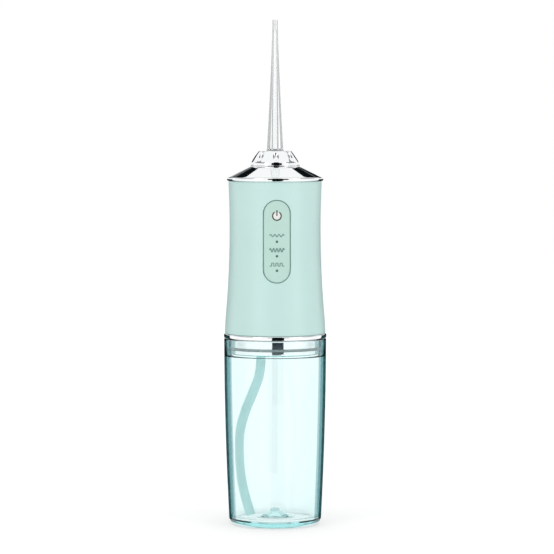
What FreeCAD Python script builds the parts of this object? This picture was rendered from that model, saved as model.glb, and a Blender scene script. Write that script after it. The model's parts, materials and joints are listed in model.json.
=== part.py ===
# Handheld cordless water flosser, built as an assembly of separate pieces.
#
# Millimetres, +Z up. The origin is the centre of the tank's base, on the surface that the flosser stands on.
# The control panel faces -Y and the charging port faces +Y.
# From the bottom: water tank with its pull-off joint, chromed neck and trim ring, waisted handle shell with
# the battery, motor, crown gear, slotted yoke and piston pump inside, then the chromed shoulder, the turning
# nozzle knob and the clear jet nozzle.
import FreeCAD, Part
import math
import os

import Sketcher

V = FreeCAD.Vector
Rot = FreeCAD.Rotation
doc = FreeCAD.newDocument("water_flosser")

# ----------------------------------------------------------------------------------------------------------
# Driving dimensions
# ----------------------------------------------------------------------------------------------------------
DIMS = [
    # water tank
    ("tank_rim_r", 29.6), ("tank_rim_z", 108.2), ("tank_foot_r", 26.75), ("tank_foot_z", 4.0),
    ("tank_side_arc", 2080.0), ("tank_edge_arc", 4.0), ("tank_stand_r", 23.2), ("tank_wall", 4.2), ("tank_floor_z", 3.6),
    ("tank_mouth_r", 27.0), ("tank_ledge_z", 98.4), ("tank_recess_r", 9.5), ("tank_recess_z", 2.6),
    ("tank_dome_r", 13.2), ("tank_dome_z", 7.5), ("tank_nub_r", 2.7), ("tank_nub_z", 9.2),
    # neck plug and lower trim ring
    ("neck_r", 26.7), ("neck_bore_r", 24.2), ("neck_floor_z", 99.4), ("neck_floor_top", 101.4), ("neck_top_z", 112.0),
    ("seal_z", 102.8), ("seal_r", 0.8), ("seal_depth", 1.5),
    ("ring_low_z", 108.5), ("ring_top_z", 111.0), ("ring_r", 29.75),
    # handle shell
    ("shell_top_z", 199.2), ("shell_low_z", 111.1), ("waist_r", 26.35), ("waist_z", 172.0), ("waist_arc", 560.0),
    ("flare_z", 124.0), ("flare_arc", 256.0), ("flare_low_r", 29.2), ("shell_wall", 2.2),
    # control panel
    ("panel_mid_z", 165.1), ("panel_w", 15.8), ("panel_hgt", 47.6), ("panel_gap", 0.3), ("pad_flange", 1.3),
    ("power_z", 179.8), ("led_top_z", 165.1), ("led_pitch", 8.25), ("led_r", 0.75),
    # top trim, shoulder and knob
    ("top_ring_r", 27.9), ("top_ring_z", 201.5), ("shoulder_low_r", 27.3), ("shoulder_top_r", 14.3), ("shoulder_top_z", 207.8),
    ("knob_low_z", 208.1), ("knob_top_z", 216.6), ("knob_low_r", 14.3), ("knob_top_r", 9.2), ("knob_flutes", 8.0),
    # nozzle
    ("nozzle_tip_z", 292.3), ("nozzle_tip_r", 1.45), ("nozzle_foot_r", 4.75), ("nozzle_shank_r", 2.6), ("nozzle_shank_z", 203.0),
    ("jet_r", 0.4), ("nozzle_bore_r", 1.5),
    # suction line
    ("barb_x", -8.2), ("tube_r", 2.8), ("tube_bore_r", 1.7), ("hose_x", -19.6), ("hose_r", 2.4), ("hose_bore_r", 1.4),
    # motor
    ("motor_y", -7.0), ("motor_r", 11.0), ("motor_low_z", 114.6), ("motor_top_z", 144.4), ("shaft_r", 1.0), ("shaft_top_z", 151.0),
    # battery
    ("cell_y", 14.7), ("cell_r", 9.0), ("cell_low_z", 114.4), ("cell_len", 50.0),
    # gear train: a 9-tooth pinion on a 34-tooth crown gear
    ("gear_mod", 0.6), ("pinion_teeth", 9.0), ("crown_teeth", 34.0), ("gear_z", 158.4), ("crown_face", 2.0), ("crank_r", 3.2),
    ("axle_r", 1.25), ("crank_pin_r", 1.0), ("yoke_low_y", -0.7), ("yoke_thick", 3.0), ("slot_half", 1.3),
    # pump
    ("bore_r", 4.0), ("cyl_r", 6.5), ("cyl_low_z", 171.0), ("head_low_z", 185.4), ("head_top_z", 196.6), ("piston_top_z", 186.4), ("piston_len", 8.0),
    ("ball_r", 1.5), ("seat_r", 0.9), ("valve_r", 2.9), ("inlet_x", -11.5), ("inlet_seat_z", 188.2), ("outlet_seat_z", 191.6), ("board_y", -19.6), ("flap_y", 25.7), ("flap_z", 184.5),
]
sheet = doc.addObject("Spreadsheet::Sheet", "Params")
for row, (alias, number) in enumerate(DIMS, start=1):
    sheet.set("A%d" % row, alias)
    sheet.set("B%d" % row, "%.6g" % number)
    sheet.setAlias("B%d" % row, alias)
doc.recompute()


class Q:
    """A size that carries its number and the expression that binds it to the sheet."""

    def __init__(self, number, text):
        self.n = float(number)
        self.t = text

    @staticmethod
    def of(x):
        return x if isinstance(x, Q) else Q(x, "(%.9g)" % x)

    def _op(self, other, sign, number):
        o = Q.of(other)
        return Q(number(self.n, o.n), "(%s %s %s)" % (self.t, sign, o.t))

    def __add__(self, o):
        return self._op(o, "+", lambda a, b: a + b)

    def __sub__(self, o):
        return self._op(o, "-", lambda a, b: a - b)

    def __mul__(self, o):
        return self._op(o, "*", lambda a, b: a * b)

    def __truediv__(self, o):
        return self._op(o, "/", lambda a, b: a / b)

    def __radd__(self, o):
        return Q.of(o) + self

    def __rsub__(self, o):
        return Q.of(o) - self

    def __rmul__(self, o):
        return Q.of(o) * self

    def __neg__(self):
        return Q(-self.n, "(0 - %s)" % self.t)


def root(q):
    return Q(math.sqrt(q.n), "sqrt(%s)" % q.t)


class Sizes:
    pass


P = Sizes()
for _alias, _number in DIMS:
    setattr(P, _alias, Q(_number, "Params." + _alias))


def put(obj, prop, value):
    """Sets a property to a number, and binds it to the sheet where the value is a Q."""
    q = Q.of(value)
    if prop.startswith("Placement") or prop.startswith("AttachmentOffset"):
        pass
    else:
        setattr(obj, prop, q.n)
    if isinstance(value, Q):
        obj.setExpression(prop, q.t)


def place(obj, x=0, y=0, z=0, rot=None):
    obj.Placement = FreeCAD.Placement(V(Q.of(x).n, Q.of(y).n, Q.of(z).n), rot or Rot())
    for axis, value in (("x", x), ("y", y), ("z", z)):
        if isinstance(value, Q):
            obj.setExpression("Placement.Base." + axis, value.t)
    return obj


TO_X = Rot(V(0, 1, 0), 90)
TO_Y = Rot(V(1, 0, 0), -90)
AXES = {"Z": Rot(), "X": TO_X, "Y": TO_Y}

# ---- Part primitives and booleans -------------------------------------------------------------------------


def cyl(name, r, length, x=0, y=0, z=0, axis="Z"):
    o = doc.addObject("Part::Cylinder", name)
    put(o, "Radius", r)
    put(o, "Height", length)
    return place(o, x, y, z, AXES[axis])


def cone(name, r1, r2, length, x=0, y=0, z=0, axis="Z"):
    o = doc.addObject("Part::Cone", name)
    put(o, "Radius1", r1)
    put(o, "Radius2", r2)
    put(o, "Height", length)
    return place(o, x, y, z, AXES[axis])


def ball(name, r, x=0, y=0, z=0):
    o = doc.addObject("Part::Sphere", name)
    put(o, "Radius", r)
    return place(o, x, y, z)


def torus(name, r1, r2, x=0, y=0, z=0, axis="Z"):
    o = doc.addObject("Part::Torus", name)
    put(o, "Radius1", r1)
    put(o, "Radius2", r2)
    return place(o, x, y, z, AXES[axis])


def box(name, x0, x1, y0, y1, z0, z1):
    o = doc.addObject("Part::Box", name)
    put(o, "Length", Q.of(x1) - x0)
    put(o, "Width", Q.of(y1) - y0)
    put(o, "Height", Q.of(z1) - z0)
    return place(o, x0, y0, z0)


def fuse(name, *shapes):
    o = doc.addObject("Part::MultiFuse", name)
    o.Shapes = list(shapes)
    o.Refine = True
    return o


def common(name, a, b):
    o = doc.addObject("Part::Common", name)
    o.Base, o.Tool = a, b
    return o


def cut(name, base, *tools):
    """base minus every tool."""
    tool = tools[0] if len(tools) == 1 else fuse(name + "_tools", *tools)
    o = doc.addObject("Part::Cut", name)
    o.Base, o.Tool = base, tool
    return o


def group(name, *shapes):
    o = doc.addObject("Part::Compound", name)
    o.Links = list(shapes)
    return o


# ---- Sketches and PartDesign features ---------------------------------------------------------------------


def body(name):
    b = doc.addObject("PartDesign::Body", name)
    return b


def plane(b, role):
    return [f for f in b.Origin.OriginFeatures if f.Role == role][0]


def blank_sketch(b, name, role, offset=None):
    s = b.newObject("Sketcher::SketchObject", name)
    s.AttachmentSupport = [(plane(b, role), "")]
    s.MapMode = "FlatFace"
    if offset is not None:
        q = Q.of(offset)
        s.AttachmentOffset = FreeCAD.Placement(V(0, 0, q.n), Rot())
        if isinstance(offset, Q):
            s.setExpression("AttachmentOffset.Base.z", q.t)
    return s


def pin_vertex(s, geo, pos, x, y):
    """Fixes one vertex by its distances from the sketch's origin, each bound to the sheet."""
    for kind, value in (("DistanceX", x), ("DistanceY", y)):
        q = Q.of(value)
        n = s.addConstraint(Sketcher.Constraint(kind, -1, 1, geo, pos, q.n))
        if isinstance(value, Q):
            s.setExpression("Constraints[%d]" % n, q.t)


def outline(s, verts, arcs=None, start=0):
    """A closed outline through verts. arcs maps a segment's number to (radius, bulge side): +1 bulges to the
    right of the way the outline runs, and -1 to its left."""
    arcs = arcs or {}
    n = len(verts)
    pts = [(Q.of(x), Q.of(y)) for x, y in verts]
    for i in range(n):
        a = V(pts[i][0].n, pts[i][1].n, 0)
        c = V(pts[(i + 1) % n][0].n, pts[(i + 1) % n][1].n, 0)
        if i in arcs:
            r, side = arcs[i]
            r = Q.of(r)
            mid = (a + c) * 0.5
            d = c - a
            half = d.Length / 2
            right = V(d.y, -d.x, 0)
            right.normalize()
            centre = mid - right * side * math.sqrt(max(r.n**2 - half**2, 0.0))
            first, last = (a, c) if side > 0 else (c, a)
            a0 = math.atan2(first.y - centre.y, first.x - centre.x)
            a1 = math.atan2(last.y - centre.y, last.x - centre.x)
            if a1 < a0:
                a1 += 2 * math.pi
            s.addGeometry(Part.ArcOfCircle(Part.Circle(centre, V(0, 0, 1), r.n), a0, a1), False)
        else:
            s.addGeometry(Part.LineSegment(a, c), False)

    def end_of(i, which):
        # an arc that runs clockwise is stored the other way round
        return 3 - which if i in arcs and arcs[i][1] < 0 else which

    for i in range(n):
        j = (i + 1) % n
        s.addConstraint(Sketcher.Constraint("Coincident", start + i, end_of(i, 2), start + j, end_of(j, 1)))
    for i in range(n):
        pin_vertex(s, start + i, end_of(i, 1), verts[i][0], verts[i][1])
    for i, (r, side) in arcs.items():
        a, b = pts[i], pts[(i + 1) % n]
        dx, dy = b[0].n - a[0].n, b[1].n - a[1].n
        if math.hypot(dx, dy) / 2 > 0.98 * Q.of(r).n:
            # a half circle: its centre is the middle of its chord
            kind, middle = ("DistanceX", (a[0] + b[0]) / 2) if abs(dy) > abs(dx) else ("DistanceY", (a[1] + b[1]) / 2)
            c = s.addConstraint(Sketcher.Constraint(kind, -1, 1, start + i, 3, middle.n))
            s.setExpression("Constraints[%d]" % c, middle.t)
            continue
        c = s.addConstraint(Sketcher.Constraint("Radius", start + i, Q.of(r).n))
        if isinstance(r, Q):
            s.setExpression("Constraints[%d]" % c, r.t)
    return start + n


def circles(s, rings, start=0):
    for i, (x, y, r) in enumerate(rings):
        s.addGeometry(Part.Circle(V(Q.of(x).n, Q.of(y).n, 0), V(0, 0, 1), Q.of(r).n), False)
        pin_vertex(s, start + i, 3, x, y)
        c = s.addConstraint(Sketcher.Constraint("Radius", start + i, Q.of(r).n))
        if isinstance(r, Q):
            s.setExpression("Constraints[%d]" % c, r.t)
    return start + len(rings)


def revolved(name, verts, arcs=None):
    """A body turned about Z from an outline of (radius, height)."""
    b = body(name)
    s = blank_sketch(b, name + "_profile", "XZ_Plane")
    outline(s, verts, arcs)
    r = b.newObject("PartDesign::Revolution", name + "_turned")
    r.Profile = s
    r.ReferenceAxis = (s, ["V_Axis"])
    r.Angle = 360
    s.Visibility = False
    return b


def grooved(b, name, verts, arcs=None):
    s = blank_sketch(b, name + "_profile", "XZ_Plane")
    outline(s, verts, arcs)
    g = b.newObject("PartDesign::Groove", name)
    g.Profile = s
    g.ReferenceAxis = (s, ["V_Axis"])
    g.Angle = 360
    return b


def padded(b, name, s, length, reversed_=False):
    p = b.newObject("PartDesign::Pad", name)
    p.Profile = s
    put(p, "Length", length)
    p.Reversed = reversed_
    return p


def pocketed(b, name, s, length, reversed_=False):
    p = b.newObject("PartDesign::Pocket", name)
    p.Profile = s
    put(p, "Length", length)
    p.Reversed = reversed_
    return p


def polar(b, name, feature, axis_role, count):
    """count copies about one of the body's own axes."""
    p = b.newObject("PartDesign::PolarPattern", name)
    p.Originals = [feature]
    p.Axis = ([f for f in b.Origin.OriginFeatures if f.Role == axis_role][0], [""])
    p.Angle = 360
    p.Occurrences = int(count)
    b.Tip = p
    return p


def extruded(name, role, offset, length, verts=None, arcs=None, rings=None, reversed_=False):
    """A body padded from one outline or from circles, on a plane parallel to an origin plane."""
    b = body(name)
    s = blank_sketch(b, name + "_outline", role, offset)
    k = outline(s, verts, arcs) if verts else 0
    if rings:
        circles(s, rings, k)
    padded(b, name + "_pad", s, length, reversed_)
    return b


def stadium(cx, cz, w, h):
    """Outline of an upright slot with round ends, as (verts, arcs)."""
    hw = Q.of(w) / 2
    hs = (Q.of(h) - w) / 2
    cx, cz = Q.of(cx), Q.of(cz)
    return [(cx - hw, cz - hs), (cx + hw, cz - hs), (cx + hw, cz + hs), (cx - hw, cz + hs)], {0: (hw, 1), 2: (hw, 1)}


def stadium_flat(cx, cz, w, h):
    """The same, lying along X: w is the long way."""
    hh = Q.of(h) / 2
    ws = (Q.of(w) - h) / 2
    cx, cz = Q.of(cx), Q.of(cz)
    return [(cx - ws, cz - hh), (cx + ws, cz - hh), (cx + ws, cz + hh), (cx - ws, cz + hh)], {1: (hh, 1), 3: (hh, 1)}


nodes = []


def keep(obj, name):
    """This object is a sub-part: its Label is the node's name."""
    obj.Label = name
    nodes.append(obj)
    return obj


# ----------------------------------------------------------------------------------------------------------
# Water tank: thick clear wall, domed floor over a round recess, and a wider mouth that takes the neck
# ----------------------------------------------------------------------------------------------------------
rim_in = P.tank_mouth_r
tank = revolved(
    "tank_body",
    [
        (0, P.tank_recess_z), (P.tank_recess_r, P.tank_recess_z), (P.tank_recess_r, 0), (P.tank_stand_r, 0),
        (P.tank_foot_r, P.tank_foot_z), (P.tank_rim_r, P.tank_rim_z),
        (rim_in, P.tank_rim_z), (rim_in, P.tank_ledge_z),
        (P.tank_rim_r - P.tank_wall - 0.1, P.tank_ledge_z),
        (P.tank_foot_r - P.tank_wall + 0.15, P.tank_floor_z + 3.5), (P.tank_foot_r - P.tank_wall - 3.0, P.tank_floor_z),
        (P.tank_dome_r, P.tank_floor_z), (P.tank_nub_r, P.tank_dome_z), (P.tank_nub_r, P.tank_nub_z - 0.9), (P.tank_nub_r - 0.9, P.tank_nub_z), (0, P.tank_nub_z),
    ],
    {3: (P.tank_edge_arc, 1), 4: (P.tank_side_arc, 1), 8: (P.tank_side_arc, -1), 9: (3.6, -1), 13: (0.9, 1)},
)
keep(tank, "water_tank")

# ----------------------------------------------------------------------------------------------------------
# Neck plug: the cup that closes the handle and seats in the tank's mouth, with the nipple for the suction tube
# ----------------------------------------------------------------------------------------------------------
groove_r = P.neck_r - P.seal_depth
BOSSES = [(17.8, -10.2), (-17.8, -10.2), (16.0, 12.5), (-16.0, 12.5)]
neck = revolved(
    "neck_body",
    [
        (0, P.neck_floor_z), (P.neck_r - 0.5, P.neck_floor_z), (P.neck_r, P.neck_floor_z + 0.5),
        (P.neck_r, P.seal_z - P.seal_r), (groove_r, P.seal_z - P.seal_r), (groove_r, P.seal_z + P.seal_r),
        (P.neck_r, P.seal_z + P.seal_r), (P.neck_r, P.neck_top_z), (P.neck_bore_r, P.neck_top_z),
        (P.neck_bore_r, P.neck_floor_top), (0, P.neck_floor_top),
    ],
)
s = blank_sketch(neck, "nipple_outline", "XY_Plane", P.neck_floor_z)
circles(s, [(P.barb_x, 0, P.tube_bore_r)])
padded(neck, "nipple", s, 6.5, True)
s = blank_sketch(neck, "nipple_bore_outline", "XY_Plane", P.neck_floor_top)
circles(s, [(P.barb_x, 0, 1.0)])
pocketed(neck, "nipple_bore", s, 12)
s = blank_sketch(neck, "boss_outline", "XY_Plane", P.neck_floor_top)
circles(s, [(x, y, 2.4) for x, y in BOSSES])
padded(neck, "screw_bosses", s, P.neck_top_z - P.neck_floor_top)
s = blank_sketch(neck, "boss_bore_outline", "XY_Plane", P.neck_top_z)
circles(s, [(x, y, 0.8) for x, y in BOSSES])
pocketed(neck, "boss_bores", s, 7)
keep(neck, "neck_plug")

# O-ring: it fills its groove and closes the gap to the tank's mouth, with a little room left in the model
seal = torus("seal_torus", P.neck_r - P.seal_r + 0.1, P.seal_r - 0.02, 0, 0, P.seal_z)
keep(seal, "tank_seal_ring")

ring = revolved(
    "low_ring_body",
    [
        (P.neck_r, P.ring_low_z), (P.ring_r - 0.7, P.ring_low_z), (P.ring_r, P.ring_low_z + 0.7), (P.ring_r, P.ring_top_z - 0.7),
        (P.ring_r - 0.7, P.ring_top_z), (P.neck_r, P.ring_top_z),
    ],
    {1: (0.7, 1), 3: (0.7, 1)},
)
keep(ring, "lower_trim_ring")

# ----------------------------------------------------------------------------------------------------------
# Handle shell: one waisted tube, with the control panel's slot at the front and the port's recess at the back
# ----------------------------------------------------------------------------------------------------------
def shell_profile(inset):
    """The radius, at a height, of the handle's waisted outside taken in by an inset."""
    arc = P.waist_arc + inset

    def r(z):
        dz = Q.of(z) - P.waist_z
        return P.waist_r + P.waist_arc - root(arc * arc - dz * dz)

    return r


shell_out = shell_profile(0)
shell_in = shell_profile(P.shell_wall)
shell = revolved(
    "shell_body",
    [
        (P.flare_low_r - 0.3, P.shell_low_z), (P.flare_low_r, P.shell_low_z + 0.4), (shell_out(P.flare_z), P.flare_z), (shell_out(P.shell_top_z - 0.4), P.shell_top_z - 0.4),
        (shell_out(P.shell_top_z - 0.4) - 0.3, P.shell_top_z), (shell_in(P.shell_top_z), P.shell_top_z), (shell_in(P.flare_z), P.flare_z),
        (P.flare_low_r - P.shell_wall, P.shell_low_z + 1.2), (P.neck_r + 0.02, P.shell_low_z),
    ],
    {1: (P.flare_arc, 1), 2: (P.waist_arc, -1), 5: (P.waist_arc + P.shell_wall, 1), 6: (P.flare_arc - P.shell_wall, -1)},
)
s = blank_sketch(shell, "panel_slot_outline", "XZ_Plane", 12)
v, a = stadium(0, P.panel_mid_z, P.panel_w, P.panel_hgt)
outline(s, v, a)
pocketed(shell, "panel_slot", s, 30, True)
s = blank_sketch(shell, "port_recess_outline", "XZ_Plane", -24.95)
v, a = stadium(0, 176.0, 11.4, 19.4)
outline(s, v, a)
pocketed(shell, "port_recess", s, 10)
s = blank_sketch(shell, "port_hole_outline", "XZ_Plane", -12)
v, a = stadium_flat(0, 177.5, 10.4, 5.2)
outline(s, v, a)
pocketed(shell, "port_hole", s, 30)
keep(shell, "handle_shell")

# ----------------------------------------------------------------------------------------------------------
# Button pad: one soft key that fills the slot, held behind the wall by its flange
# ----------------------------------------------------------------------------------------------------------


def wall_solid(name, outside, inside):
    """A turned band between two insets of the shell's outside, over the panel's height."""
    ro, ri = shell_profile(outside), shell_profile(inside)
    z0, z1 = P.panel_mid_z - P.panel_hgt / 2 - 3, P.panel_mid_z + P.panel_hgt / 2 + 3
    return revolved(
        name,
        [(ro(z0), z0), (ro(z1), z1), (ri(z1), z1), (ri(z0), z0)],
        {0: (P.waist_arc + outside, -1), 2: (P.waist_arc + inside, 1)},
    )


v, a = stadium(0, P.panel_mid_z, P.panel_w - P.panel_gap * 2, P.panel_hgt - P.panel_gap * 2)
key_stem = extruded("pad_stem", "XZ_Plane", 12, 18, v, a)
v, a = stadium(0, P.panel_mid_z, P.panel_w + P.pad_flange * 2, P.panel_hgt + P.pad_flange * 2)
key_flange = extruded("pad_rim", "XZ_Plane", 12, 18, v, a)
pad_front = common("pad_front", key_stem, wall_solid("pad_front_band", 0.25, P.shell_wall + 0.8))
pad_back = common("pad_back", key_flange, wall_solid("pad_back_band", P.shell_wall + 0.15, P.shell_wall + 0.95))
nub = cyl("pad_nub", 1.6, 0.55, 0, -23.5, P.power_z, "Y")
pad_all = fuse("pad_all", pad_front, pad_back, nub)
led_z = [P.led_top_z, P.led_top_z - P.led_pitch, P.led_top_z - P.led_pitch * 2]
pad_holes = [cyl("pad_led_hole_%d" % i, P.led_r, 8, 0, -29, z, "Y") for i, z in enumerate(led_z)]
pad = cut("pad_cut", pad_all, *pad_holes)
keep(pad, "button_pad")

windows = [
    common("led_window_%d" % i, cyl("led_rod_%d" % i, P.led_r, 8, 0, -29, z, "Y"), wall_solid("led_band_%d" % i, 0.2, P.shell_wall + 0.9))
    for i, z in enumerate(led_z)
]
keep(group("windows", *windows), "mode_windows")

# ----------------------------------------------------------------------------------------------------------
# Charging port at the back: hinged silicone flap, socket and its small board
# ----------------------------------------------------------------------------------------------------------
v, a = stadium(0, 176.0, 10.8, 18.8)
flap_plate = extruded("flap_plate", "XZ_Plane", -25.15, 4, v, a, reversed_=True)
flap_skin = common("flap_skin", flap_plate, wall_solid("flap_band", 0.15, 4.0))
v, a = stadium_flat(0, 177.5, 8.8, 3.4)
flap_plug = extruded("flap_plug", "XZ_Plane", -23.2, 2.2, v, a, reversed_=True)
flap_trimmed = cut(
    "flap_trimmed",
    flap_skin,
    box("flap_top", -8, 8, 22, 30, P.flap_z, P.flap_z + 4),
    box("flap_shoulder_left", -8, -2.1, 22, 30, P.flap_z - 1.5, P.flap_z + 1),
    box("flap_shoulder_right", 2.1, 8, 22, 30, P.flap_z - 1.5, P.flap_z + 1),
)
flap_bead = cyl("flap_bead", 0.65, 3.8, -1.9, P.flap_y, P.flap_z, "X")
flap_lift = cyl("flap_lift", 0.45, 4.0, -2.0, 26.0, 168.9, "X")
keep(fuse("flap", flap_trimmed, flap_plug, flap_bead, flap_lift), "port_flap")

socket_box = box("socket_box", -4.5, 4.5, 15.6, 22.6, 175.9, 179.1)
socket_hole = box("socket_hole", -3.9, 3.9, 16.6, 22.7, 176.4, 178.6)
keep(cut("socket_cut", socket_box, socket_hole), "charge_socket")
tongue = box("tongue", -3.2, 3.2, 16.6, 21.9, 177.15, 177.85)
keep(tongue, "socket_tongue")
keep(box("charge_board_box", -8, 8, 12.2, 22.2, 174.7, 175.9), "charge_board")

# ----------------------------------------------------------------------------------------------------------
# Top: bulkhead, chromed trim ring, shoulder, knob
# ----------------------------------------------------------------------------------------------------------
skirt_r = shell_in(192.6) - 0.1
bulkhead = revolved(
    "bulkhead_body",
    [
        (6.6, 196.9), (10.0, 196.9), (10.0, 198.0), (skirt_r - 1.0, 198.0), (skirt_r - 1.0, 192.6), (skirt_r, 192.6), (skirt_r, P.shell_top_z),
        (26.2, P.shell_top_z), (26.2, 200.2), (10.0, 200.2), (10.0, 201.2), (5.3, 201.2),
        (5.3, 199.6), (6.6, 199.6),
    ],
)
keep(bulkhead, "top_bulkhead")

top_ring = revolved(
    "top_ring_body",
    [
        (26.25, P.shell_top_z), (P.top_ring_r - 0.9, P.shell_top_z), (P.top_ring_r, P.shell_top_z + 0.9), (P.top_ring_r, P.top_ring_z - 0.8),
        (P.top_ring_r - 0.8, P.top_ring_z), (26.25, P.top_ring_z),
    ],
    {1: (0.9, 1), 3: (0.8, 1)},
)
keep(top_ring, "top_trim_ring")

shoulder = revolved(
    "shoulder_body",
    [
        (P.shoulder_low_r - 1.1, 200.2), (26.2, 200.2), (26.2, P.top_ring_z), (P.shoulder_low_r, P.top_ring_z), (P.shoulder_top_r, P.shoulder_top_z), (6.3, P.shoulder_top_z),
        (6.3, P.shoulder_top_z - 1.4), (P.shoulder_top_r - 0.6, P.shoulder_top_z - 1.4), (24.6, P.top_ring_z), (24.6, 200.2),
    ][1:],
)
keep(shoulder, "shoulder_cap")

kl, kt = P.knob_low_z, P.knob_top_z
knob = revolved(
    "knob_body",
    [
        (P.nozzle_shank_r + 2.4, kl + 0.4), (P.knob_low_r - 1.2, kl), (P.knob_low_r - 0.4, kl), (P.knob_low_r, kl + 0.5), (P.knob_low_r - 0.15, kl + 2.0),
        (P.knob_top_r + 0.75, kt - 0.55), (P.knob_top_r, kt), (P.nozzle_foot_r + 0.45, kt), (P.nozzle_foot_r + 0.45, kt - 1.0),
        (P.nozzle_shank_r + 2.4, kt - 1.0),
    ],
    {2: (0.5, 1), 4: (60.0, 1), 5: (0.8, 1)},
)
# grip scoops: shallow ovals that lie along the slope, repeated round the knob
low_r, high_r = P.knob_low_r - 0.15, P.knob_top_r + 0.75
low_z, high_z = kl + 2.0, kt - 0.55
lean = math.degrees(math.atan2((low_r - high_r).n, (high_z - low_z).n))
scoops = []
for i in range(int(P.knob_flutes.n)):
    turn = 360.0 * i / P.knob_flutes.n - 90.0
    o = doc.addObject("Part::Ellipsoid", "scoop_%d" % i)
    o.Radius1, o.Radius2, o.Radius3 = 3.7, 2.0, 2.2
    out = (low_r + high_r).n / 2 + 1.35 * math.cos(math.radians(lean))
    up = (low_z + high_z).n / 2 + 1.35 * math.sin(math.radians(lean))
    o.Placement = FreeCAD.Placement(V(0, 0, 0), Rot(V(0, 0, 1), turn)).multiply(
        FreeCAD.Placement(V(out, 0, up), Rot(V(0, 1, 0), -lean))
    )
    scoops.append(o)
knob = cut("knob_cut", knob, *scoops)
keep(knob, "nozzle_knob")

sock = revolved(
    "socket_body",
    [
        (2.3, 198.0), (6.3, 198.0), (6.3, 199.3), (P.nozzle_shank_r + 2.4, 199.3), (P.nozzle_shank_r + 2.4, kt - 1.0), (P.nozzle_shank_r + 0.06, kt - 1.0),
        (P.nozzle_shank_r + 0.06, P.nozzle_shank_z - 0.3), (2.3, P.nozzle_shank_z - 0.3),
    ],
)
keep(sock, "nozzle_socket")

# ----------------------------------------------------------------------------------------------------------
# Nozzle: clear tapered jet with a flange, a shank for the socket, and a stepped water channel
# ----------------------------------------------------------------------------------------------------------
tz = P.nozzle_tip_z
nozzle = revolved(
    "nozzle_body",
    [
        (P.nozzle_bore_r, P.nozzle_shank_z), (P.nozzle_shank_r - 0.4, P.nozzle_shank_z), (P.nozzle_shank_r, P.nozzle_shank_z + 0.6),
        (P.nozzle_shank_r, 206.2), (1.95, 206.2), (1.95, 207.8), (P.nozzle_shank_r, 207.8), (P.nozzle_shank_r, kt - 0.9),
        (P.nozzle_foot_r + 0.35, kt - 0.9), (P.nozzle_foot_r + 0.35, kt + 0.35), (P.nozzle_foot_r, kt + 0.6), (P.nozzle_tip_r + 0.05, tz - 3.0),
        (P.nozzle_tip_r + 0.1, tz - 2.2), (P.nozzle_tip_r, tz - 0.5), (P.nozzle_tip_r - 0.5, tz),
        (P.jet_r, tz), (P.jet_r, tz - 5.0), (0.9, tz - 8.0), (P.nozzle_bore_r, kt + 4.0),
    ],
    {13: (0.5, 1), 10: (2400.0, -1)},
)
keep(nozzle, "nozzle_tip")
keep(torus("nozzle_seal_torus", 2.26, 0.31, 0, 0, 207.0), "nozzle_seal")

# ----------------------------------------------------------------------------------------------------------
# Suction line: soft tube in the tank, elbow in the neck, and the hose up to the pump
# ----------------------------------------------------------------------------------------------------------
SUCTION_ROUTE = [
    (-8.2, 0.0, 99.4), (-8.2, 0.0, 88.5), (-12.6, 0.0, 77.2), (-18.0, 0.0, 64.4), (-21.0, 0.0, 53.0),
    (-21.1, 0.0, 39.5), (-19.9, 0.0, 26.5), (-17.2, 0.0, 14.8), (-14.3, 0.0, 5.3),
]


def tube_path(points):
    """Straight runs joined by tangent arcs: each arc's radius is 0.45 of the shorter run over the tangent of
    half the turn. Returns the wire, its length and the radii."""
    pts = [V(*p) for p in points]
    edges, radii, length = [], [], 0.0
    here = pts[0]
    for i in range(1, len(pts) - 1):
        a = (pts[i] - pts[i - 1]).normalize()
        b = (pts[i + 1] - pts[i]).normalize()
        turn = a.getAngle(b)
        back = 0.45 * min((pts[i] - pts[i - 1]).Length, (pts[i + 1] - pts[i]).Length)
        r = back / math.tan(turn / 2)
        radii.append(r)
        start, end = pts[i] - a * back, pts[i] + b * back
        inward = (b - a).normalize()
        centre = pts[i] + inward * (r / math.cos(turn / 2))
        middle = centre - inward * r
        edges.append(Part.LineSegment(here, start).toShape())
        edges.append(Part.Arc(start, middle, end).toShape())
        length += (start - here).Length + r * turn
        here = end
    edges.append(Part.LineSegment(here, pts[-1]).toShape())
    length += (pts[-1] - here).Length
    return Part.Wire(edges), length, radii


def swept(path, first, direction, radius):
    ring = Part.Wire([Part.Circle(first, direction, radius).toShape()])
    return path.makePipeShell([ring], True, False)


def soft_tube(name, points, outer, inner):
    path, length, radii = tube_path(points)
    first, direction = V(*points[0]), V(*points[1]) - V(*points[0])
    shape = swept(path, first, direction, outer)
    section = math.pi * (outer**2 - (inner or 0) ** 2)
    if inner:
        shape = shape.cut(swept(path, first, direction, inner))
    o = doc.addObject("Part::Feature", name)
    o.Shape = shape
    o.Placement = FreeCAD.Placement()
    print("%s: length %.1f mm, volume %.1f against %.1f, radii %s" % (name, length, shape.Volume, section * length, [round(r, 1) for r in radii]))
    return o


keep(soft_tube("tube_in_tank", SUCTION_ROUTE, P.tube_r.n, P.tube_bore_r.n), "suction_tube")

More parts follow.
